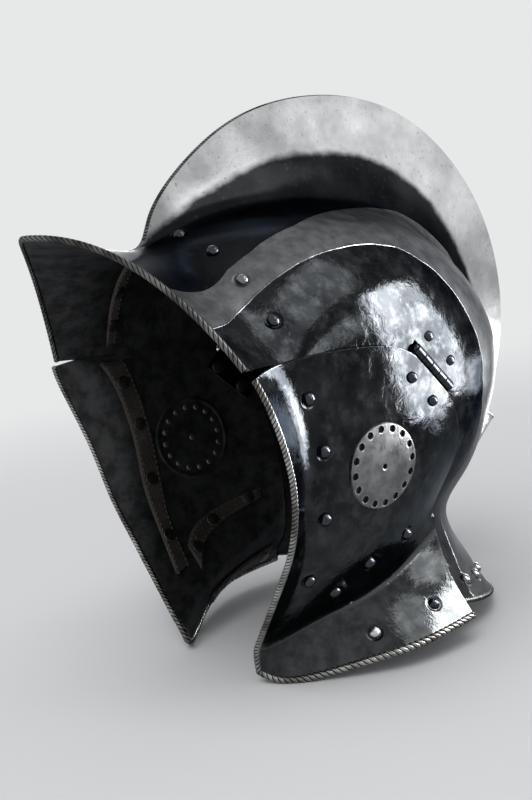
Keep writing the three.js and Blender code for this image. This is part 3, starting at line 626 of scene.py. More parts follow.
class Recipe(Nodes):
    """A tree of geometry nodes with named sizes, that turns a guide mesh into a plain mesh."""

    FAMILY = "GeometryNode"

    def __init__(self, name, **sizes):
        super().__init__(bpy.data.node_groups.new(name, "GeometryNodeTree"))
        self.face = self.tree.interface
        self.face.new_socket("Guide", in_out="INPUT", socket_type="NodeSocketGeometry")
        for size, value in sizes.items():
            kind = "NodeSocketInt" if isinstance(value, int) else "NodeSocketFloat"
            self.face.new_socket(size, in_out="INPUT", socket_type=kind).default_value = value
        self.face.new_socket("Finish", in_out="INPUT", socket_type="NodeSocketMaterial")
        self.face.new_socket("Piece", in_out="OUTPUT", socket_type="NodeSocketGeometry")
        self.entry = self.add("NodeGroupInput")

    def given(self, name):
        return self.entry.beside(name)

    def kept(self, name, kind="FLOAT"):
        return self.add("InputNamedAttribute", {"data_type": kind}, {"Name": name})

    def stored(self, name, points, value):
        return self.add("StoreNamedAttribute", {"data_type": "FLOAT", "domain": "POINT"}, {
            "Geometry": points, "Name": name, "Value": value})

    def line(self, spacing):
        """The guide's lines as curves, with a point at every spacing."""
        line = self.add("MeshToCurve", values={"Mesh": self.given("Guide")})
        return self.add("ResampleCurve", {"mode": "LENGTH"}, {
            "Curve": line, "Length": self.given(spacing)})

    def ring(self, sides):
        return self.add("CurvePrimitiveCircle", {"mode": "RADIUS"}, {
            "Resolution": sides, "Radius": 1.0})

    def swept(self, line, ring, size):
        return self.add("CurveToMesh", values={
            "Curve": line, "Profile Curve": ring, "Scale": size, "Fill Caps": True})

    def facing(self, axis, direction):
        return self.add("FunctionNodeAlignRotationToVector", {"axis": axis}, {"Vector": direction})

    def ending(self, piece):
        piece = self.add("RealizeInstances", values={"Geometry": piece})
        piece = self.add("SetShadeSmooth", values={"Geometry": piece})
        piece = self.add("SetMaterial", values={
            "Geometry": piece, "Material": self.given("Finish")})
        self.add("NodeGroupOutput", values={"Piece": piece})
        return self

    def run(self, name, lines, finish, aims=None, sizes=None, **marks):
        """Runs the recipe on guide points or lines, and returns one plain mesh piece."""
        points = np.concatenate(lines)
        ends = np.cumsum([len(line) for line in lines])
        edges = [(k, k + 1) for k in range(len(points) - 1) if k + 1 not in ends]
        guide = bpy.data.meshes.new(name)
        guide.from_pydata(stood(points).tolist(), edges, [])
        if aims is not None:
            guide.attributes.new("aim", "FLOAT_VECTOR", "POINT").data.foreach_set(
                "vector", stood_direction(aims).astype(np.float32).ravel())
        store(guide, marks)
        holder = added(name, guide)
        modifier = holder.modifiers.new("recipe", "NODES")
        modifier.node_group = self.tree
        given = {**(sizes or {}), "Finish": FINISHES[finish]}
        for item in self.face.items_tree:
            if item.in_out == "INPUT" and item.name in given:
                modifier[item.identifier] = given[item.name]
        mesh = evaluated(holder)
        bpy.data.objects.remove(holder)
        bpy.data.meshes.remove(guide)
        mesh.name = name
        return added(name, mesh)


def roping_recipe():
    """A rolled edge filed into rope: a ring with narrow cuts, swept and twisted along a line."""
    recipe = Recipe("roped_edge", Depth=0.2, Starts=3, Step=0.0005)
    line = recipe.add("SetCurveTilt", values={
        "Curve": recipe.line("Step"), "Tilt": recipe.kept("twist")})
    sides = recipe.given("Starts") * 10
    turn = recipe.add("InputIndex") * (2 * math.pi) / sides
    groove = (1 - abs((turn * recipe.given("Starts") * 0.5).cos())) ** 2
    spread = recipe.add("ShaderNodeVectorMath", {"operation": "SCALE"}, {
        0: recipe.add("InputPosition"), "Scale": 1 - groove * recipe.given("Depth")})
    ring = recipe.add("SetPosition", values={"Geometry": recipe.ring(sides), "Position": spread})
    ring = recipe.stored("groove", ring, groove)
    return recipe.ending(recipe.swept(line, ring, recipe.kept("size")))


def roped(name, line, radii, lays, starts, finish, depth, step):
    """Rope along a line, its radius and the length of a turn given as shares of the line."""
    line = dense(line, ROPE_GUIDE_STEP)
    spans, along = line_shares(line)
    radius, lay = (np.interp(along / along[-1], *np.transpose(table)) for table in (radii, lays))
    twist = np.concatenate([[0], np.cumsum(spans * 4 * math.pi / (lay[1:] + lay[:-1]))])
    rope = ROPING.run(name, [line], finish, size=radius * MM, twist=twist,
                      sizes={"Depth": depth, "Starts": starts, "Step": step * MM})
    return level_feet(rope)


def turned_recipe(name, profile):
    """Small turned fixings set on guide points: a ring carried up a short axis."""
    recipe = Recipe(name, Radius=0.0044, Height=0.003, Skirt=0.0008, Rings=10, Sides=24)
    height, skirt = recipe.given("Height"), recipe.given("Skirt")
    axis = recipe.add("CurvePrimitiveLine", {"mode": "POINTS"}, {
        "Start": (0, 0, 0), "End": (0, 0, 1)})
    axis = recipe.add("ResampleCurve", {"mode": "COUNT"}, {
        "Curve": axis, "Count": recipe.given("Rings")})
    rise, reach = profile(recipe.add("SplineParameter", out="Factor"))
    place = recipe.add("ShaderNodeCombineXYZ", values={"Z": rise * (height + skirt) - skirt})
    axis = recipe.add("SetPosition", values={
        "Geometry": recipe.stored("reach", axis, reach), "Position": place})
    turned = recipe.swept(axis, recipe.ring(recipe.given("Sides")),
                          recipe.kept("reach") * recipe.given("Radius"))
    return recipe.ending(recipe.add("InstanceOnPoints", values={
        "Points": recipe.given("Guide"), "Instance": turned,
        "Rotation": recipe.facing("Z", recipe.kept("aim", "FLOAT_VECTOR"))}))


def domed(share):
    quarter = share * (math.pi / 2)
    return quarter.sin() ** 1.1, (quarter.cos() ** 0.8).most(0.02)


def terraced(share):
    wave = (share * (6 * math.pi)).sin() / (6 * math.pi)
    return (share * 5).least(1) * 0.55 + 0.45 * (share - wave), (1 - share ** 1.6).most(0.02)


def lipped(share):
    return (share * math.pi).sin(), 1 - 0.98 * share


def stitch_recipe():
    """Short stitches end to end along a line."""
    recipe = Recipe("stitches", Pitch=0.0034, Length=0.0024, Thread=0.0009)
    points = recipe.add("CurveToPoints", {"mode": "EVALUATED"}, {"Curve": recipe.line("Pitch")})
    thread = recipe.add("MeshUVSphere", values={"Segments": 6, "Rings": 4, "Radius": 0.5})
    thick = recipe.given("Thread")
    size = recipe.add("ShaderNodeCombineXYZ", values={
        "X": recipe.given("Length"), "Y": thick, "Z": thick})
    return recipe.ending(recipe.add("InstanceOnPoints", values={
        "Points": points, "Instance": thread, "Scale": size,
        "Rotation": recipe.facing("X", points.beside("Tangent"))}))


# Finishes

def forged(finish, hammer, ripple, share=1.0):
    """The bumps that every plate carries: hammer marks, and smaller ones between them."""
    marks = finish.relief(finish.noise(60, 1.0, 0.4), hammer)
    return finish.relief(finish.noise(170, 5, 0.58, distortion=0.5) * share, ripple, marks)


def blackened(steel, mottle):
    """Oil-blackened steel: nearly black, cloudy, mirror-smooth between its ripples."""
    colour = steel.clouds(steel.noise(38), 0.35, 0.68,
                          (0.009, 0.0098, 0.0108), (0.023, 0.0248, 0.0268))
    return steel.blend(steel.soft(mottle, 0.42, 0.78) * 0.8, colour, (0.062, 0.066, 0.070))


def plate_finish(steel, mottle, colour, painted_shade, rough, normal):
    """Ends a plate's finish: painted shade round its rivets, and the inside black with a little
    rust.
    """
    inside = steel.mark("inside")
    # Painted shade: the plate darkened in a ring round the foot of each rivet
    ring = 1 - steel.soft(steel.mark("rivet_gap"), 3.4, 4.4)
    rust = steel.soft(steel.noise(130, 5, 0.7), 0.48, 0.74)
    dark = steel.clouds(mottle, 0.35, 0.65, (0.018, 0.019, 0.020), (0.050, 0.052, 0.054))
    old = steel.blend(rust * 0.35, dark, (0.075, 0.058, 0.046))
    return steel.dress(
        Base_Color=steel.blend(inside, steel.blend(ring * 0.6, colour, painted_shade), old),
        Roughness=steel.pick(inside, rough, 0.58),
        Metallic=steel.pick(inside, 1.0, 0.8), Normal=normal)


def skull_steel():
    """Bright along the comb and the broad band, slate between, black and hammered below."""
    steel = Finish("skull_steel", Specular_Tint=(0.46, 0.47, 0.49, 1))
    comb, top, foot = steel.mark("comb_line"), steel.mark("band_top"), steel.mark("band_foot")
    cloud, mottle = steel.noise(24, 4), steel.noise(110, 5, 0.65)
    scratch = steel.strokes((1300, 90, 160), (0.2, 0.1, 0.4))
    streak = steel.strokes((180, 34, 60), (0.3, 0.1, 0.5), 4)
    above = steel.soft(foot, -0.25, 0.25)
    below = 1 - above
    low = 1 - steel.soft(steel.along("Z"), 0.06, 0.12)
    on_comb = steel.soft(comb + (mottle - 0.5) * 4.0 + (streak - 0.5) * 5.0, -2.8, 2.4)
    on_band = steel.soft(top, -0.2, 0.2) * above
    slate = steel.clouds(cloud, 0.3, 0.7, (0.008, 0.0084, 0.0089), (0.018, 0.0188, 0.0198))
    bright = steel.clouds(cloud, 0.3, 0.7, (0.22, 0.227, 0.234), (0.37, 0.373, 0.375))
    bright = steel.blend(steel.soft(mottle, 0.45, 0.8) * 0.35, bright, (0.20, 0.205, 0.21))
    bright = steel.blend(steel.soft(streak, 0.5, 0.72) * 0.25, bright, (0.20, 0.195, 0.19))
    satin = steel.clouds(mottle, 0.3, 0.7, (0.088, 0.092, 0.095), (0.165, 0.170, 0.173))
    # Painted shade: the band darkened near the bottom
    satin = steel.blend(low * 0.5, satin, (0.045, 0.047, 0.049))
    colour = steel.blend(on_comb, slate, bright)
    colour = steel.blend(on_band * (1 - on_comb * 0.75), colour, satin)
    # Painted reflection: the black lightened to grey near the bottom, as a dim sheen
    black = steel.blend(low * 0.7, blackened(steel, mottle), satin)
    colour = steel.blend(below, colour, black)
    line = 1 - steel.soft(abs(foot - 0.2), 0.1, 0.6)
    # Where the painted highlight along the band's foot shows: in patches of the mottle, fading out
    # towards the brow
    worn = steel.soft(mottle, 0.35, 0.7, 0.25, 0.8) * steel.soft(steel.along("Y"), -0.09, -0.03)
    # Painted highlight: a pale line along the foot of the raised band
    colour = steel.blend(line * worn, colour, (0.36, 0.36, 0.352))
    specks = steel.soft(steel.noise(520, 2), 0.64, 0.72)
    colour = steel.blend(specks * 0.5, colour, (0.05, 0.045, 0.04))
    rough = steel.pick(on_band, steel.pick(on_comb, 0.20, 0.25), 0.32) + (cloud - 0.5) * 0.10
    rough = steel.pick(below, rough, 0.09) + (mottle - 0.5) * 0.08 + (scratch - 0.5) * 0.06
    step = steel.relief(on_band + line * 0.8, 0.35, forged(steel, 0.22, 0.19, 0.35 + 0.65 * below))
    dimple = steel.relief(steel.soft(steel.mark("rivet_gap"), 3.6, 5.2), 0.3, step)
    fine = steel.relief(steel.noise(900) + scratch * 0.6 - specks * 0.6, 0.012, dimple)
    # The dark colour is the painted shade round the rivets
    return plate_finish(steel, mottle, colour, (0.012, 0.012, 0.013), rough, fine)


def cheek_steel():
    """Black and hammered, rubbed bright along its edges and the crease of the neck."""
    steel = Finish("cheek_steel", Specular_Tint=(0.60, 0.62, 0.65, 1))
    mottle = steel.noise(110, 5, 0.65)
    # Painted reflection: the black lightened to grey near the bottom, as a dim sheen
    low = 1 - steel.soft(steel.along("Z") + (mottle - 0.5) * 0.02, 0.055, 0.115)
    grey = steel.clouds(mottle, 0.3, 0.7, (0.028, 0.030, 0.031), (0.062, 0.066, 0.067))
    colour = steel.blend(low * 0.8, blackened(steel, mottle), grey)
    for mark, reach, share, rubbed in (("edge_gap", 2.0, 0.55, (0.30, 0.31, 0.32)),
                                       ("crease_gap", 2.6, 0.25, (0.26, 0.27, 0.28))):
        near = 1 - steel.soft(steel.mark(mark) + (mottle - 0.5) * 4, 0.3, reach)
        colour = steel.blend(near * share, colour, rubbed)
    dimple = steel.relief(steel.soft(steel.mark("rivet_gap"), 3.6, 5.0), 0.25,
                          forged(steel, 0.24, 0.18))
    ring = 1 - steel.soft(abs(steel.mark("rosette_gap") + 2), 0.4, 1.8)
    pressed = steel.relief(steel.mark("inside") * ring, 0.6, dimple)
    # The dark colour is the painted shade round the rivets
    return plate_finish(steel, mottle, colour, (0.008, 0.008, 0.009), 0.09 + (mottle - 0.5) * 0.08,
                        steel.relief(steel.noise(900), 0.012, pressed))


def roped_steel(name, low, high):
    """Bright on the crowns of the strands, painted shade in the grooves."""
    steel = Finish(name, Metallic=1.0, Specular_Tint=(0.45, 0.45, 0.45, 1))
    mottle, worn = steel.noise(160), steel.noise(45)
    deep = steel.soft(steel.mark("groove"), 0.12, 0.6)
    crown = steel.clouds(worn, 0.35, 0.62, low, high)
    crown = steel.blend(steel.soft(mottle, 0.45, 0.8) * 0.6, crown, low)
    # Painted shade: the grooves between the strands darkened
    return steel.dress(Base_Color=steel.blend(deep, crown, (0.014, 0.012, 0.010)),
                       Roughness=steel.pick(deep, 0.24 + (mottle - 0.5) * 0.15, 0.5),
                       Normal=steel.relief(steel.noise(900), 0.04))


def turned_steel(name, low, high, rough):
    """Rivet heads and pins: domes with painted shade round their feet."""
    steel = Finish(name, Metallic=1.0)
    mottle = steel.noise(300)
    # Painted shade where the foot of each dome meets the plate
    painted_shade = steel.soft(steel.mark("reach") + (mottle - 0.5) * 0.3, 0.93, 1.02)
    colour = steel.blend(painted_shade, steel.blend(mottle, low, high), (0.02, 0.018, 0.017))
    return steel.dress(Base_Color=colour, Normal=steel.relief(steel.noise(500), 0.08),
                       Roughness=steel.pick(painted_shade, rough + (mottle - 0.5) * 0.15, 0.55))


def punched_steel():
    """The lips of the rosette's holes inside the plate, with the dark of each hole painted in as
    shade.
    """
    steel = Finish("punched_steel", Metallic=0.8)
    mottle = steel.noise(240)
    hollow = 1 - steel.soft(steel.mark("reach"), 0.42, 0.56)
    colour = steel.blend(mottle, (0.06, 0.058, 0.055), (0.16, 0.155, 0.15))
    # Painted shade: the middle of each lip painted near black for the dark of the hole
    return steel.dress(Base_Color=steel.blend(hollow, colour, (0.004, 0.004, 0.004)),
                       Roughness=0.42 + (mottle - 0.5) * 0.2, Normal=steel.relief(mottle, 0.05))


def rosette_steel():
    """Satin disc, finely scratched, with painted shade in and round its holes and a painted
    highlight on their rims.
    """
    steel = Finish("rosette_steel", Metallic=1.0)
    hole, mottle = steel.mark("hole_gap"), steel.noise(120, 4)
    scratch = steel.strokes((200, 1200, 160), (0.5, 0.2, 0.1), 2, 0.5)
    colour = steel.clouds(mottle, 0.25, 0.75, (0.082, 0.085, 0.088), (0.17, 0.173, 0.177))
    # Painted shade in and round each hole
    painted_shade = 1 - steel.soft(hole + (mottle - 0.5) * 0.8, 0.0, 0.5)
    # Painted highlight on the rim of each hole
    rim = steel.soft(hole, 0.0, 0.3) * (1 - steel.soft(hole, 0.5, 1.0))
    colour = steel.blend(rim * 0.4, colour, (0.34, 0.34, 0.33))
    return steel.dress(Base_Color=steel.blend(painted_shade, colour, (0.012, 0.011, 0.010)),
                       Roughness=0.30 + (mottle - 0.5) * 0.2 + (scratch - 0.5) * 0.15,
                       Normal=steel.relief(scratch, 0.03, steel.relief(mottle, 0.12)))


def plain_steel(name, low, high, rough):
    steel = Finish(name, Metallic=1.0)
    mottle = steel.noise(140, 4)
    colour = steel.clouds(mottle, 0.25, 0.75, low, high)
    specks = steel.soft(steel.noise(520, 2), 0.62, 0.7)
    return steel.dress(Base_Color=steel.blend(specks * 0.6, colour, (0.03, 0.026, 0.022)),
                       Roughness=rough + (mottle - 0.5) * 0.2, Normal=forged(steel, 0.12, 0.04))


def lining_leather():
    """Old dark leather, dry and cracked, paler where it is rubbed."""
    leather = Finish("lining_leather", Metallic=0.0)
    grain = leather.add("TexVoronoi", {"feature": "F1"}, {
        "Vector": leather.place, "Scale": 650}, out="Distance")
    crack, cloud = leather.noise(170, 5, 0.7, distortion=0.6), leather.noise(40)
    colour = leather.clouds(cloud, 0.3, 0.7, (0.014, 0.012, 0.010), (0.040, 0.033, 0.028))
    colour = leather.blend(leather.soft(crack, 0.56, 0.70) * 0.6, colour, (0.095, 0.082, 0.070))
    return leather.dress(Base_Color=colour, Roughness=0.62 + (cloud - 0.5) * 0.3,
                         Normal=leather.relief(crack, 0.5, leather.relief(grain, 0.15)))


def waxed_thread():
    thread = Finish("waxed_thread", Metallic=0.0)
    cloud = thread.noise(300)
    return thread.dress(
        Base_Color=thread.blend(cloud, (0.030, 0.025, 0.020), (0.066, 0.055, 0.044)),
        Roughness=0.6 + (cloud - 0.5) * 0.2, Normal=thread.relief(thread.noise(1800, 2, 0.5), 0.05))


SLOTS = {
    "blackened_steel": {"skull": skull_steel(), "cheek": cheek_steel()},
    "bright_steel": {
        "bright_rope": roped_steel("roped_steel", (0.11, 0.105, 0.10), (0.44, 0.44, 0.43)),
        "dull_rope": roped_steel("dull_roped_steel", (0.045, 0.043, 0.042), (0.19, 0.19, 0.188)),
        "bright_head": turned_steel("bright_rivet", (0.42, 0.42, 0.42), (0.66, 0.66, 0.65), 0.26),
        "satin_head": turned_steel("satin_rivet", (0.11, 0.113, 0.118), (0.24, 0.243, 0.246), 0.20),
        "rosette": rosette_steel(),
        "holder": plain_steel("holder_steel", (0.30, 0.30, 0.30), (0.52, 0.52, 0.51), 0.28),
    },
    "dark_steel": {
        "dark_head": turned_steel("dark_rivet", (0.022, 0.025, 0.030), (0.07, 0.076, 0.085), 0.14),
        "washer": turned_steel("iron_washer", (0.045, 0.042, 0.040), (0.13, 0.12, 0.112), 0.42),
        "punched": punched_steel(),
        "hinge": plain_steel("hinge_steel", (0.022, 0.025, 0.029), (0.06, 0.066, 0.074), 0.16),
    },
    "leather": {"leather": lining_leather(), "thread": waxed_thread()},
}
FINISHES = {key: material for group in SLOTS.values() for key, material in group.items()}
ROPING = roping_recipe()
HEADS = turned_recipe("rivet_heads", domed)
BURRS = turned_recipe("punched_burrs", lipped)
WASHERS = turned_recipe("washers", terraced)
STITCHES = stitch_recipe()


def settle(piece, *nodes, body=None):
    """Rides a finished piece on its body, in place of the solids that it stands for."""
    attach(piece, body or frame["nodes"][nodes[0]]["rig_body"])
    if nodes:
        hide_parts(*nodes)


def settle_pair(piece, node=None):
    """Settles a piece of the wearer's left and its mirror image on the right."""
    for side, twin in (("right", mirrored(piece, piece.name.replace("left", "right"))),
                       ("left", piece)):
        settle(twin, *([f"{side}_{node}"] if node else []), body=None if node else f"{side}_cheek")


# Spots: places of fixings on the plates, each with the way it faces

def band_row(band, share):
    return band["middle"] - band["fall"] * share ** 2


brow_spots, nape_spots = (
    [spot_on(skull_share_place, band_row(band, share), share) for share in shares]
    for band, shares in ((BROW_BAND, BROW_RIVETS), (NAPE_BAND, NAPE_RIVETS)))
cheek_spots = [spot_on(cheek_place, *place, turned=True) for place in CHEEK_RIVETS]

HINGE_OVER = np.cross(HINGE_ALONG, [1, 0, 0])
HINGE_OVER /= np.linalg.norm(HINGE_OVER)
HINGE_OUT = np.cross(HINGE_OVER, HINGE_ALONG)


def at_hinge(run, over, out):
    return HINGE_MIDDLE + run * HINGE_ALONG + over * HINGE_OVER + out * HINGE_OUT


def notches(name, half, low, high):
    """Boxes over both hinges, in the hinge's frame, that cut room in a plate."""
    points, faces = [], []
    for sign in (1, -1):
        faces += [[len(points) + k for k in quad[::sign]] for quad in BOX_FACES]
        points += [at_hinge(run, over, out) * [sign, 1, 1] for run in (-half, half)
                   for over in (low, high) for out in (-NOTCH_DEPTH, NOTCH_DEPTH)]
    return mesh_piece(name, points, faces)


def hinge_notches():
    half = HINGE_LENGTH / 2 + PIN_HEAD_HEIGHT + 2 * SEAT_GAP
    return notches("notch", half, -HINGE_RELIEF, HINGE_RELIEF)


# Skull plate

def line_gap(places, table, stations):
    """Signed distance from a finish line on the skull, positive towards the crest."""
    table = np.array(table)
    at = np.linspace(table[0, 0], table[-1, 0], 900)
    x = np.minimum(np.interp(at, *table.T), skull_half(at) * 0.999)
    gap = nearest(places, dense(skull_place(at, x)))
    edge = np.interp(stations, *table.T, left=-1e3, right=-1e3)
    return np.where(places[:, 0] < edge, gap, -gap)


def make_skull():
    stations = np.concatenate([[0.0]] + [
        station + np.arange(1, count + 1) / count for station, count in enumerate(SKULL_ROWS)])
    half = skull_half(stations)[:, None]
    near = CROWN_SHARE * COMB_REACH
    crown = near * (np.arange(1, CROWN_COLUMNS + 1) / CROWN_COLUMNS) ** CROWN_SPREAD
    start = np.arcsin(near / half)
    turn = (math.pi / 2 - start) * np.arange(1, SIDE_COLUMNS + 1) / SIDE_COLUMNS
    left = np.hstack([crown + 0 * half, half * np.sin(start + turn)])
    x = np.hstack([-left[:, ::-1], 0 * half, left])
    laps = [np.stack([skull_lap(stations, sign, share) for share in (1 / 3, 2 / 3, 1)], 1)
            for sign in (-1, 1)]
    grid = np.hstack([laps[0][:, ::-1], skull_place(stations[:, None] + 0 * x, x), laps[1]])
    normals = grid_normals(grid)
    # Where the lap runs out, its columns fall together and take the direction beside them
    for column in range(4):
        for k, beside in ((column, 4), (-1 - column, -5)):
            lost = np.linalg.norm(normals[:, k], axis=-1) < 0.5
            if column == 3:
                lost |= np.linalg.norm(grid[:, k] - grid[:, beside], axis=-1) < LAP_THIN
            normals[lost, k] = normals[lost, beside]
    folded = (np.abs(grid) * [1, 0, 0] + grid * [0, 1, 1]).reshape(-1, 3)
    at = np.repeat(stations, grid.shape[1])
    marks = {"comb_line": line_gap(folded, COMB_LINE, at),
             "band_top": -line_gap(folded, BAND_TOP, at),
             "band_foot": line_gap(folded, BAND_FOOT, at),
             "rivet_gap": nearest(folded, [place for place, _ in brow_spots + nape_spots])}
    lap_notches = notches("lap_notch", HINGE_LENGTH / 2 + LAP_NOTCH_PAST,
                          -HINGE_RELIEF - LEAF_REACH - LAP_NOTCH_BELOW, 0)
    settle(plate_piece("burgonet_skull", grid, normals, "skull", marks,
                       [hinge_notches(), lap_notches]), "skull")
    mid_wall = grid - PLATE_WALL / 2 * normals
    crest = (stations >= CREST_ROPE[0]) & (stations <= CREST_ROPE[1])
    for name, line in (("peak", mid_wall[0, 3:-3]), ("nape", mid_wall[-1, 3:-3]),
                       ("crest", mid_wall[crest, grid.shape[1] // 2])):
        settle(roped(f"{name}_roping", line, finish="dull_rope", **SKULL_ROPES[name]), body="skull")


make_skull()


# Cheekpieces

def cheek_grid():
    rows = np.concatenate([np.linspace(0, CREASE, CHEEK_MAIN_ROWS + 1),
                           np.linspace(CREASE, HEM, CHEEK_FLANGE_ROWS + 1)[1:]])
    columns = np.linspace(5, 0, CHEEK_COLUMNS + 1)
    table = np.concatenate([read_cheek_main(rows[rows <= CREASE]),
                            read_cheek_flange(rows[rows > CREASE] - CREASE)])
    grid = SHARE * np.stack([smooth_reader(row)(columns) for row in table])
    # The crease is a small round, not a fold
    near = np.abs(rows - CREASE) < CREASE_ROUND
    for _ in range(6):
        soft = grid.copy()
        soft[1:-1] = (grid[:-2] + 2 * grid[1:-1] + grid[2:]) / 4
        grid[near] = soft[near]
    return grid, grid[np.argmin(np.abs(rows - CREASE))]


def make_cheek():
    grid, crease = cheek_grid()
    normals = grid_normals(grid)
    normals *= np.sign(normals[..., 0].mean())
    points = grid.reshape(-1, 3)
    border = np.concatenate([grid[:, -1], grid[-1, ::-1]])
    seam = np.concatenate([grid[0, ::-1], grid[:, 0]])
    off_centre = (points - cheek_place(*ROSETTE_PLACE))[:, 1:]
    marks = {
        "edge_gap": np.minimum(nearest(points, dense(border)),
                               nearest(points, dense(seam)) + SEAM_LESS),
        "crease_gap": nearest(points, dense(crease)),
        "rivet_gap": nearest(points, [place for place, _ in cheek_spots]),
        "rosette_gap": ROSETTE_RADIUS - np.linalg.norm(off_centre, axis=1),
    }
    plate = plate_piece("left_cheek_plate", grid, normals, "cheek", marks, [hinge_notches()])
    settle_pair(plate, "cheekpiece")
    mid_wall = grid - PLATE_WALL / 2 * normals
    edges = [mid_wall[:-1, -1], mid_wall[-1, ::-1]]
    lengths = [line_shares(edge)[1][-1] for edge in edges]
    corner = lengths[0] / sum(lengths)
    turns = [0, corner - 0.1, corner + 0.05, 1]
    radii, lays = (np.column_stack([turns, row]) for row in (CHEEK_ROPE_RADII, CHEEK_ROPE_LAYS))
    settle_pair(roped("left_cheek_roping", np.concatenate(edges), radii, lays, 3,
                      "bright_rope", 0.24, 0.4))
    return grid


def make_rosette(grid):
    """A low disc laid on the cheekpiece, with a rolled rim and a ring of holes, and the spots
    inside the plate where the same holes come through."""
    rows, columns = grid.shape[:2]
    outside = plate_faces(rows, columns)[:(rows - 1) * (columns - 1)]
    tree = BVHTree.FromPolygons(grid.reshape(-1, 3).tolist(), outside)
    centre = cheek_place(*ROSETTE_PLACE)

    def met(y, z):
        return tree.ray_cast(Vector(centre + [ROSETTE_SIGHT, y, z]), Vector((-1, 0, 0)))[:2]

    holes = [(0.0, 0.0, ROSETTE_EYE_RADIUS)] + [
        (ROSETTE_HOLE_RING * math.cos(turn), ROSETTE_HOLE_RING * math.sin(turn),
         ROSETTE_HOLE_RADIUS) for turn in circle(ROSETTE_HOLES) + math.pi / ROSETTE_HOLES]
    profile = [(share * ROSETTE_RADIUS, ROSETTE_RISE + ROSETTE_DOME * (1 - share ** 2)
                - ROSETTE_ROLL * max(0.0, 1 - (1 - share) / ROSETTE_ROLL_SHARE) ** 2)
               for share in np.linspace(0, 1, ROSETTE_RINGS + 1)]
    points, gaps = [], []
    for reach, rise in profile + [(ROSETTE_RADIUS, -ROSETTE_SUNK)]:
        for turn in circle(ROSETTE_SPOKES):
            y, z = reach * math.cos(turn), reach * math.sin(turn)
            gap = min(math.hypot(y - hy, z - hz) - hr for hy, hz, hr in holes)
            sunk = HOLE_DEPTH * min(1.0, max(0.0, -gap / HOLE_SLOPE))
            points.append((met(y, z)[0].x + rise - sunk, centre[1] + y, centre[2] + z))
            gaps.append(gap)
    disc = mesh_piece("left_rosette", points, ring_faces(points, ROSETTE_SPOKES, foot=False),
                      "rosette", {"hole_gap": gaps}, crisp=CRISP_ROUND)
    settle_pair(disc)
    lips = []
    for y, z, _ in holes:
        place, axis = (np.array(v) for v in met(y, z))
        axis *= np.sign(axis[0])
        lips.append((place - PLATE_WALL * axis, axis))
    return lips


lip_spots = make_rosette(make_cheek())


# Rivet heads, washers and the lips of the holes

SIDES = {"left": [1, 1, 1], "right": [-1, 1, 1]}


def sided(spots, *sides):
    """Spots of the wearer's left as they are, or mirrored to the right."""
    return [(place * SIDES[side], axis * SIDES[side]) for side in sides for place, axis in spots]


def rivet_nodes(sides, **rows):
    return [f"{side}_{row}_rivet_{k}" for side in sides for row, ks in rows.items() for k in ks]


def turned_sizes(radius, height, skirt, **counts):
    return {"Radius": radius * MM, "Height": height * MM, "Skirt": skirt * MM, **counts}


HEAD = turned_sizes(HEAD_RADIUS, HEAD_HEIGHT, HEAD_SKIRT)
LEAF_HEAD = turned_sizes(LEAF_HEAD_RADIUS, HEAD_HEIGHT, LEAF_HEAD_SKIRT)
WASHER = turned_sizes(WASHER_RADIUS, WASHER_HEIGHT, WASHER_SKIRT, Rings=16)
BURR = turned_sizes(BURR_RADIUS, BURR_HEIGHT, 0.0, Rings=9, Sides=16)
LINING_DEPTH = PLATE_WALL + LEATHER_GAP + LEATHER_WALL


def fixings(recipe, name, spots, finish, body, sizes, nodes=(), depth=None):
    """Turned fixings on spots, facing out, or facing in where a depth below is given."""
    places = [[place - (depth or 0.0) * axis] for place, axis in spots]
    aims = [axis if depth is None else -axis for _, axis in spots]
    settle(recipe.run(name, places, finish, aims, sizes), *nodes, body=body)


fixings(HEADS, "dark_brow_rivet_heads", sided([brow_spots[k] for k in (0, 1, 3)], *SIDES),
        "dark_head", "skull", HEAD, rivet_nodes(SIDES, brow=(1, 2, 4)))
fixings(HEADS, "satin_skull_rivet_heads", sided(brow_spots[2:3] + nape_spots, *SIDES),
        "satin_head", "skull", HEAD, rivet_nodes(SIDES, brow=(3,), nape=(1, 2, 3)))
fixings(WASHERS, "skull_washers", sided(brow_spots + nape_spots, *SIDES), "washer", "skull",
        WASHER, depth=LINING_DEPTH)
for side in SIDES:
    body, spots = f"{side}_cheek", sided(cheek_spots, side)
    fixings(HEADS, f"{side}_cheek_rivet_heads", spots[:-2] + spots[-1:], "dark_head", body, HEAD,
            rivet_nodes([side], cheek_front=(1, 2, 3, 4), cheek_diagonal=(1, 2, 3),
                        cheek_flange=(2,)))
    fixings(HEADS, f"{side}_flange_rivet_head", spots[-2:-1], "bright_head", body, HEAD,
            rivet_nodes([side], cheek_flange=(1,)))
    fixings(WASHERS, f"{side}_cheek_washers", spots, "washer", body, WASHER, depth=LINING_DEPTH)
    fixings(BURRS, f"{side}_rosette_burrs", sided(lip_spots, side), "punched", body, BURR,
            depth=0.0)


# Leather linings

def lining(name, places, sign):
    """A leather strip under a plate, thinner at its pared edges, and its two rows of stitches."""
    normals = sign * grid_normals(places)
    rows, columns = places.shape[:2]
    v = np.linspace(-1, 1, columns)[None, :, None]
    u = np.linspace(-1, 1, rows)[:, None, None]
    wall = LEATHER_WALL * (1 - LEATHER_PARED * np.maximum(np.abs(v) ** 10, np.abs(u) ** 40))
    top = places - normals * (PLATE_WALL + LEATHER_GAP)
    bottom = places - normals * (PLATE_WALL + LEATHER_GAP + wall)
    strip = mesh_piece(f"{name}_leather", [top, bottom], plate_faces(rows, columns), "leather",
                       crisp=CRISP_ROUND)
    seams = [round(share * (columns - 1)) for share in STITCH_ROWS]
    lines = [dense(bottom[:, k] - STITCH_RISE * normals[:, k], 1.0) for k in seams]
    return strip, STITCHES.run(f"{name}_stitches", lines, "thread")


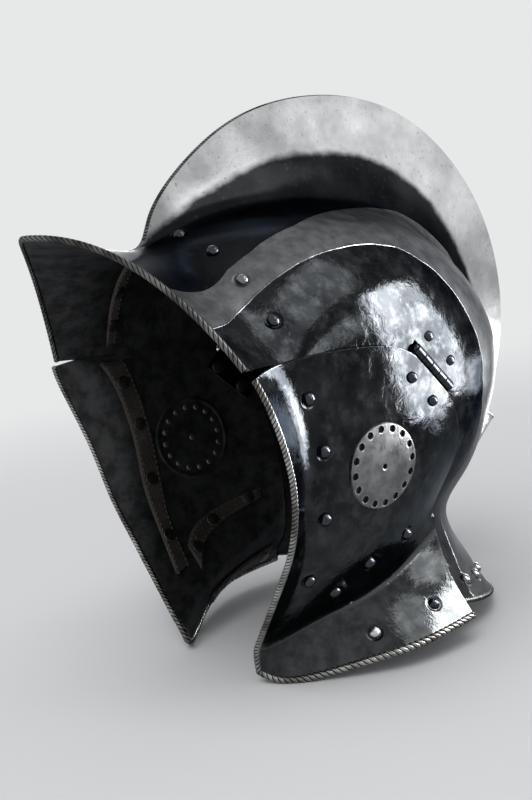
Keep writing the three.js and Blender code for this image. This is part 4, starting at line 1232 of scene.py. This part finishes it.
def skull_strip(band):
    rows, columns = SKULL_STRIP_POINTS
    shares = np.linspace(-band["reach"], band["reach"], rows)[:, None]
    station = band_row(band, shares) + np.linspace(-1, 1, columns) * band["half"]
    return skull_share_place(station, shares + 0 * station, combed=False)


def cheek_strip(path, half, across_rows):
    """A strip along a path on the cheekpiece, its breadth across rows or across columns."""
    rows, columns = CHEEK_STRIP_POINTS
    path = smooth_reader(path)(np.linspace(0, len(path) - 1, rows))[:, None]
    steps = np.linspace(-half, half, columns)
    return cheek_place(path[..., 0] + steps * across_rows, path[..., 1] + steps * (not across_rows))


for name, band in (("brow", BROW_BAND), ("nape", NAPE_BAND)):
    strip, stitches = lining(name, skull_strip(band), -1)
    settle(strip, f"{name}_lining")
    settle(stitches, body="skull")
for name, (path, half, across_rows, sign) in CHEEK_LININGS.items():
    strip, stitches = lining(f"left_{name}", cheek_strip(path, half, across_rows), sign)
    settle_pair(strip, f"cheek_{name}_lining")
    settle_pair(stitches)


# Hinges

def node_rises(node):
    """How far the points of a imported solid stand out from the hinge's line."""
    mesh = frame["nodes"][node].data
    places = np.empty(len(mesh.vertices) * 3)
    mesh.vertices.foreach_get("co", places)
    worn = (places.reshape(-1, 3) - STAND_SHIFT) / MM @ STAND
    return (worn - HINGE_MIDDLE) @ HINGE_OUT


def prism(points, faces, outline, stations, centre=(0.0, 0.0)):
    """A closed prism along the pin: an outline, drawn in a little at its ends."""
    first = len(points)
    points += [at_hinge(run, *(centre + (np.array(corner) - centre) * scale))
               for run, scale in stations for corner in outline]
    faces += ring_faces(points, len(outline), first)


def bar(points, faces, spans, ease=LEAF_EASE):
    """A box in the hinge's frame with its long edges eased."""
    (r0, r1), (o0, o1), (z0, z1) = spans
    outline = [(o0 + ease, z0), (o1 - ease, z0), (o1, z0 + ease), (o1, z1 - ease),
               (o1 - ease, z1), (o0 + ease, z1), (o0, z1 - ease), (o0, z0 + ease)]
    prism(points, faces, outline, [(r0, 0.8), (r0 + ease, 1.0), (r1 - ease, 1.0), (r1, 0.8)],
          ((o0 + o1) / 2, (z0 + z1) / 2))


def make_leaf(name, node, side, first):
    """A hinge leaf under a plate, with its share of the round knuckles."""
    points, faces = [], []
    seat = node_rises(f"left_{node}").min() + LEAF_WALL
    half, pitch = HINGE_LENGTH / 2, HINGE_LENGTH / KNUCKLE_COUNT
    reach = sorted((side * KNUCKLE_GAP, side * (HINGE_RELIEF + LEAF_REACH)))
    bar(points, faces, ((-half, half), reach, (seat - LEAF_WALL, seat)))
    knuckle = [(KNUCKLE_RADIUS * math.cos(t), KNUCKLE_RADIUS * math.sin(t)) for t in circle(32)]
    leg = sorted((side * KNUCKLE_GAP, side * KNUCKLE_RADIUS))
    for k in range(first, KNUCKLE_COUNT, 2):
        begin = -half + k * pitch + (KNUCKLE_GAP / 2 if k else 0)
        end = -half + (k + 1) * pitch - (KNUCKLE_GAP / 2 if k < KNUCKLE_COUNT - 1 else 0)
        prism(points, faces, knuckle, [(begin, 0.9), (begin + KNUCKLE_EASE, 1.0),
                                       (end - KNUCKLE_EASE, 1.0), (end, 0.9)])
        bar(points, faces, ((begin, end), leg, (seat - LEAF_WALL / 2, 0.0)), LEG_EASE)
    settle_pair(mesh_piece(name, points, faces, "hinge", crisp=CRISP_HINGE), node)


def make_pin():
    points, faces = [], []
    half = HINGE_LENGTH / 2 + SEAT_GAP
    head = [(half + PIN_HEAD_HEIGHT * math.sin(t), PIN_HEAD_RADIUS * max(math.cos(t), 0.03))
            for t in np.linspace(0, math.pi / 2, 7)]
    rod = [(-half + 0.01, PIN_RADIUS), (half - 0.01, PIN_RADIUS)]
    prism(points, faces, [(math.cos(t), math.sin(t)) for t in circle(24)],
          [(-run, reach) for run, reach in head[::-1]] + rod + head)
    settle_pair(mesh_piece("left_hinge_rod", points, faces, "hinge", crisp=CRISP_HINGE),
                "hinge_pin")


make_leaf("left_upper_leaf", "upper_hinge_leaf", 1, 0)
make_leaf("left_lower_leaf", "lower_hinge_leaf", -1, 1)
make_pin()
for row, shares, over, cheek in (("upper_leaf", UPPER_LEAF_RIVETS, UPPER_LEAF_DROP, False),
                                 ("lower_leaf", LOWER_LEAF_RIVETS, -LOWER_LEAF_DROP, True)):
    # Rivets of a leaf stand where their solids stand, along the hinge's outward line
    heads, backs = [], []
    for k, share in enumerate(shares):
        rises = node_rises(f"left_{row}_rivet_{k + 1}")
        for spots, rise in ((heads, rises.max() - HEAD_HEIGHT), (backs, rises.min())):
            spots.append((at_hinge(HINGE_LENGTH * (0.5 - share), over, rise), HINGE_OUT))
    for side in SIDES:
        body = f"{side}_cheek" if cheek else "skull"
        fixings(HEADS, f"{side}_{row}_rivet_heads", sided(heads, side), "dark_head", body,
                LEAF_HEAD, rivet_nodes([side], **{row: (1, 2)}))
        fixings(WASHERS, f"{side}_{row}_rivet_washers", sided(backs, side), "washer", body,
                WASHER, depth=-WASHER_HEIGHT)


# Plume holder

def make_holder():
    axis = HOLDER_MOUTH - HOLDER_FOOT
    length = float(np.linalg.norm(axis))
    axis /= length
    side = np.array([1.0, 0.0, 0.0])
    other = np.cross(axis, side)
    start, gain, bend, count = HOLDER_FLARE
    profile = HOLDER_NECK + [
        (start + gain * (k / count) ** bend, 1 + (length - HOLDER_ENDS) * k / count)
        for k in range(count + 1)]
    profile += [(reach, length - below) for reach, below in HOLDER_LIP] + HOLDER_BORE
    points = [HOLDER_FOOT + axis * run + reach * (side * math.cos(turn) + other * math.sin(turn))
              for reach, run in profile for turn in circle(HOLDER_SPOKES)]
    tube = mesh_piece("plume_tube", points, ring_faces(points, HOLDER_SPOKES), "holder",
                      crisp=CRISP_ROUND)
    settle(tube, "plume_holder")
    share = np.linspace(-1, 1, 31)[:, None]
    stations = np.mean(HOLDER_STATIONS) + share * np.ptp(HOLDER_STATIONS) / 2
    half = HOLDER_FOOT_HALF * (1 - 0.9 * np.abs(share) ** 4) ** 0.5
    breadths = half * np.linspace(-1, 1, 41)
    grid = skull_place(stations + 0 * breadths, breadths)
    normals = grid_normals(grid)
    saddle = [grid + HOLDER_WALL * normals, grid - HOLDER_SUNK * normals]
    settle(mesh_piece("plume_saddle", saddle, plate_faces(*grid.shape[:2]), "holder",
                      crisp=CRISP_ROUND), body="skull")


make_holder()
place, axis = spot_on(skull_place, *HOLDER_RIVET)
fixings(HEADS, "holder_rivet_heads", sided([(place + HOLDER_WALL * axis, axis)], *SIDES),
        "bright_head", "skull", HEAD, ["left_holder_rivet", "right_holder_rivet"])


# Stage

PALE = (0.80, 0.805, 0.81)


def watched(nodes):
    """1 where the camera looks, directly or in polished steel."""
    ray = nodes.add("LightPath", out="Is Camera Ray")
    return ray.most(ray.beside("Is Glossy Ray"))


def pale_floor():
    """Plain near the object, where it takes the shadow, and the colour of the backdrop far off."""
    floor = Finish("pale_floor", Roughness=0.95, Specular_IOR_Level=0.0)
    away = floor.add("VectorMath", {"operation": "LENGTH"}, {0: floor.place}).beside("Value")
    far = floor.add("Emission", values={"Color": (*PALE, 1), "Strength": 1.0})
    mixed = floor.add("MixShader", values={
        0: watched(floor) * floor.soft(away, 0.30, 1.15), 1: floor.shader, 2: far})
    floor.dress(mixed, Base_Color=floor.blend(
        floor.noise(3, 3, 0.5), (0.74, 0.745, 0.75), (0.78, 0.785, 0.79)))
    mesh = bpy.data.meshes.new("floor")
    mesh.from_pydata([(-9, -9, 0), (9, -9, 0), (9, 9, 0), (-9, 9, 0)], [], [(0, 1, 2, 3)])
    mesh.materials.append(floor.material)
    added("floor", mesh)


def studio_world():
    world = bpy.data.worlds.new("studio")
    world.use_nodes = True
    bpy.context.scene.world = world
    nodes = Nodes(world.node_tree)
    light = nodes.add("Background", values={"Color": (0.94, 0.96, 1.0, 1), "Strength": 0.42})
    seen = nodes.add("Background", values={"Color": (*PALE, 1), "Strength": 1.0})
    mixed = nodes.add("MixShader", values={0: watched(nodes), 1: light, 2: seen})
    nodes.add("OutputWorld", values={"Surface": mixed})


def softbox(name, turn, place, target, size, radiance, matt=False, polished=True):
    """A rectangular lamp out of the camera's sight, for matt surfaces, polished ones or both."""
    place, target = (Vector(np.multiply(spot, turn)) for spot in (place, target))
    lamp = bpy.data.lights.new(name, "AREA")
    lamp.shape = "RECTANGLE"
    lamp.size, lamp.size_y = size
    lamp.energy = radiance * math.pi * size[0] * size[1]
    holder = added(name, lamp)
    holder.location = place
    holder.rotation_euler = (target - place).to_track_quat("-Z", "Y").to_euler()
    holder.visible_camera = False
    holder.visible_diffuse = matt
    holder.visible_glossy = polished


# Place, target, size and radiance of the lamps beside the helmet; the last one lights matt too
SIDE_LAMPS = {
    "window": ((0.190, 0.151, 0.176), (0.09, -0.02, 0.166), (0.082, 0.205), 30),
    "edge_strip": ((0.17, 0.373, 0.05), (0.09, -0.08, 0.13), (0.14, 0.10), 12),
    "low_box": ((0.409, 0.141, 0.208), (0.085, -0.01, 0.03), (0.14, 0.14), 4.6),
    "brow_box": ((0.30, 0.13, 0.52), (0.085, -0.05, 0.19), (0.28, 0.28), 2.5),
    "back": ((1.02, 1.22, 0.42), (0.0, 0.05, 0.24), (0.75, 0.55), 1.35, True),
}

# The camera's axes in the worn frame, and its place along them in millimetres
CAMERA_RIGHT = np.array([0.57185955, 0.82035154, 0.0])
CAMERA_UP = np.array([-0.05179609, 0.03610658, 0.99800475])
CAMERA_BACK = np.array([0.81871474, -0.57071855, 0.06313889])
CAMERA_PLACE = (-5.59, 27.33, 610)


def set_camera():
    camera = bpy.data.cameras.new("camera")
    camera.lens = 50
    camera.sensor_fit = "VERTICAL"
    camera.sensor_height = 36
    camera.clip_start = 0.01
    axes = np.stack([CAMERA_RIGHT, CAMERA_UP, CAMERA_BACK])
    turn = Matrix(stood_direction(axes).T.tolist()).to_4x4()
    holder = added("camera", camera)
    holder.matrix_world = Matrix.Translation(Vector(stood(CAMERA_PLACE @ axes))) @ turn
    bpy.context.scene.camera = holder


pale_floor()
studio_world()
set_camera()
for side, turn in SIDES.items():
    for name, lamp in SIDE_LAMPS.items():
        softbox(f"{side}_{name}", turn, *lamp)
softbox("overhead", SIDES["left"], (0.5, -0.9, 2.3), (0.0, 0.0, 0.1), (2.2, 2.2), 2.6,
        matt=True, polished=False)
bpy.context.scene.view_settings.view_transform = "Standard"
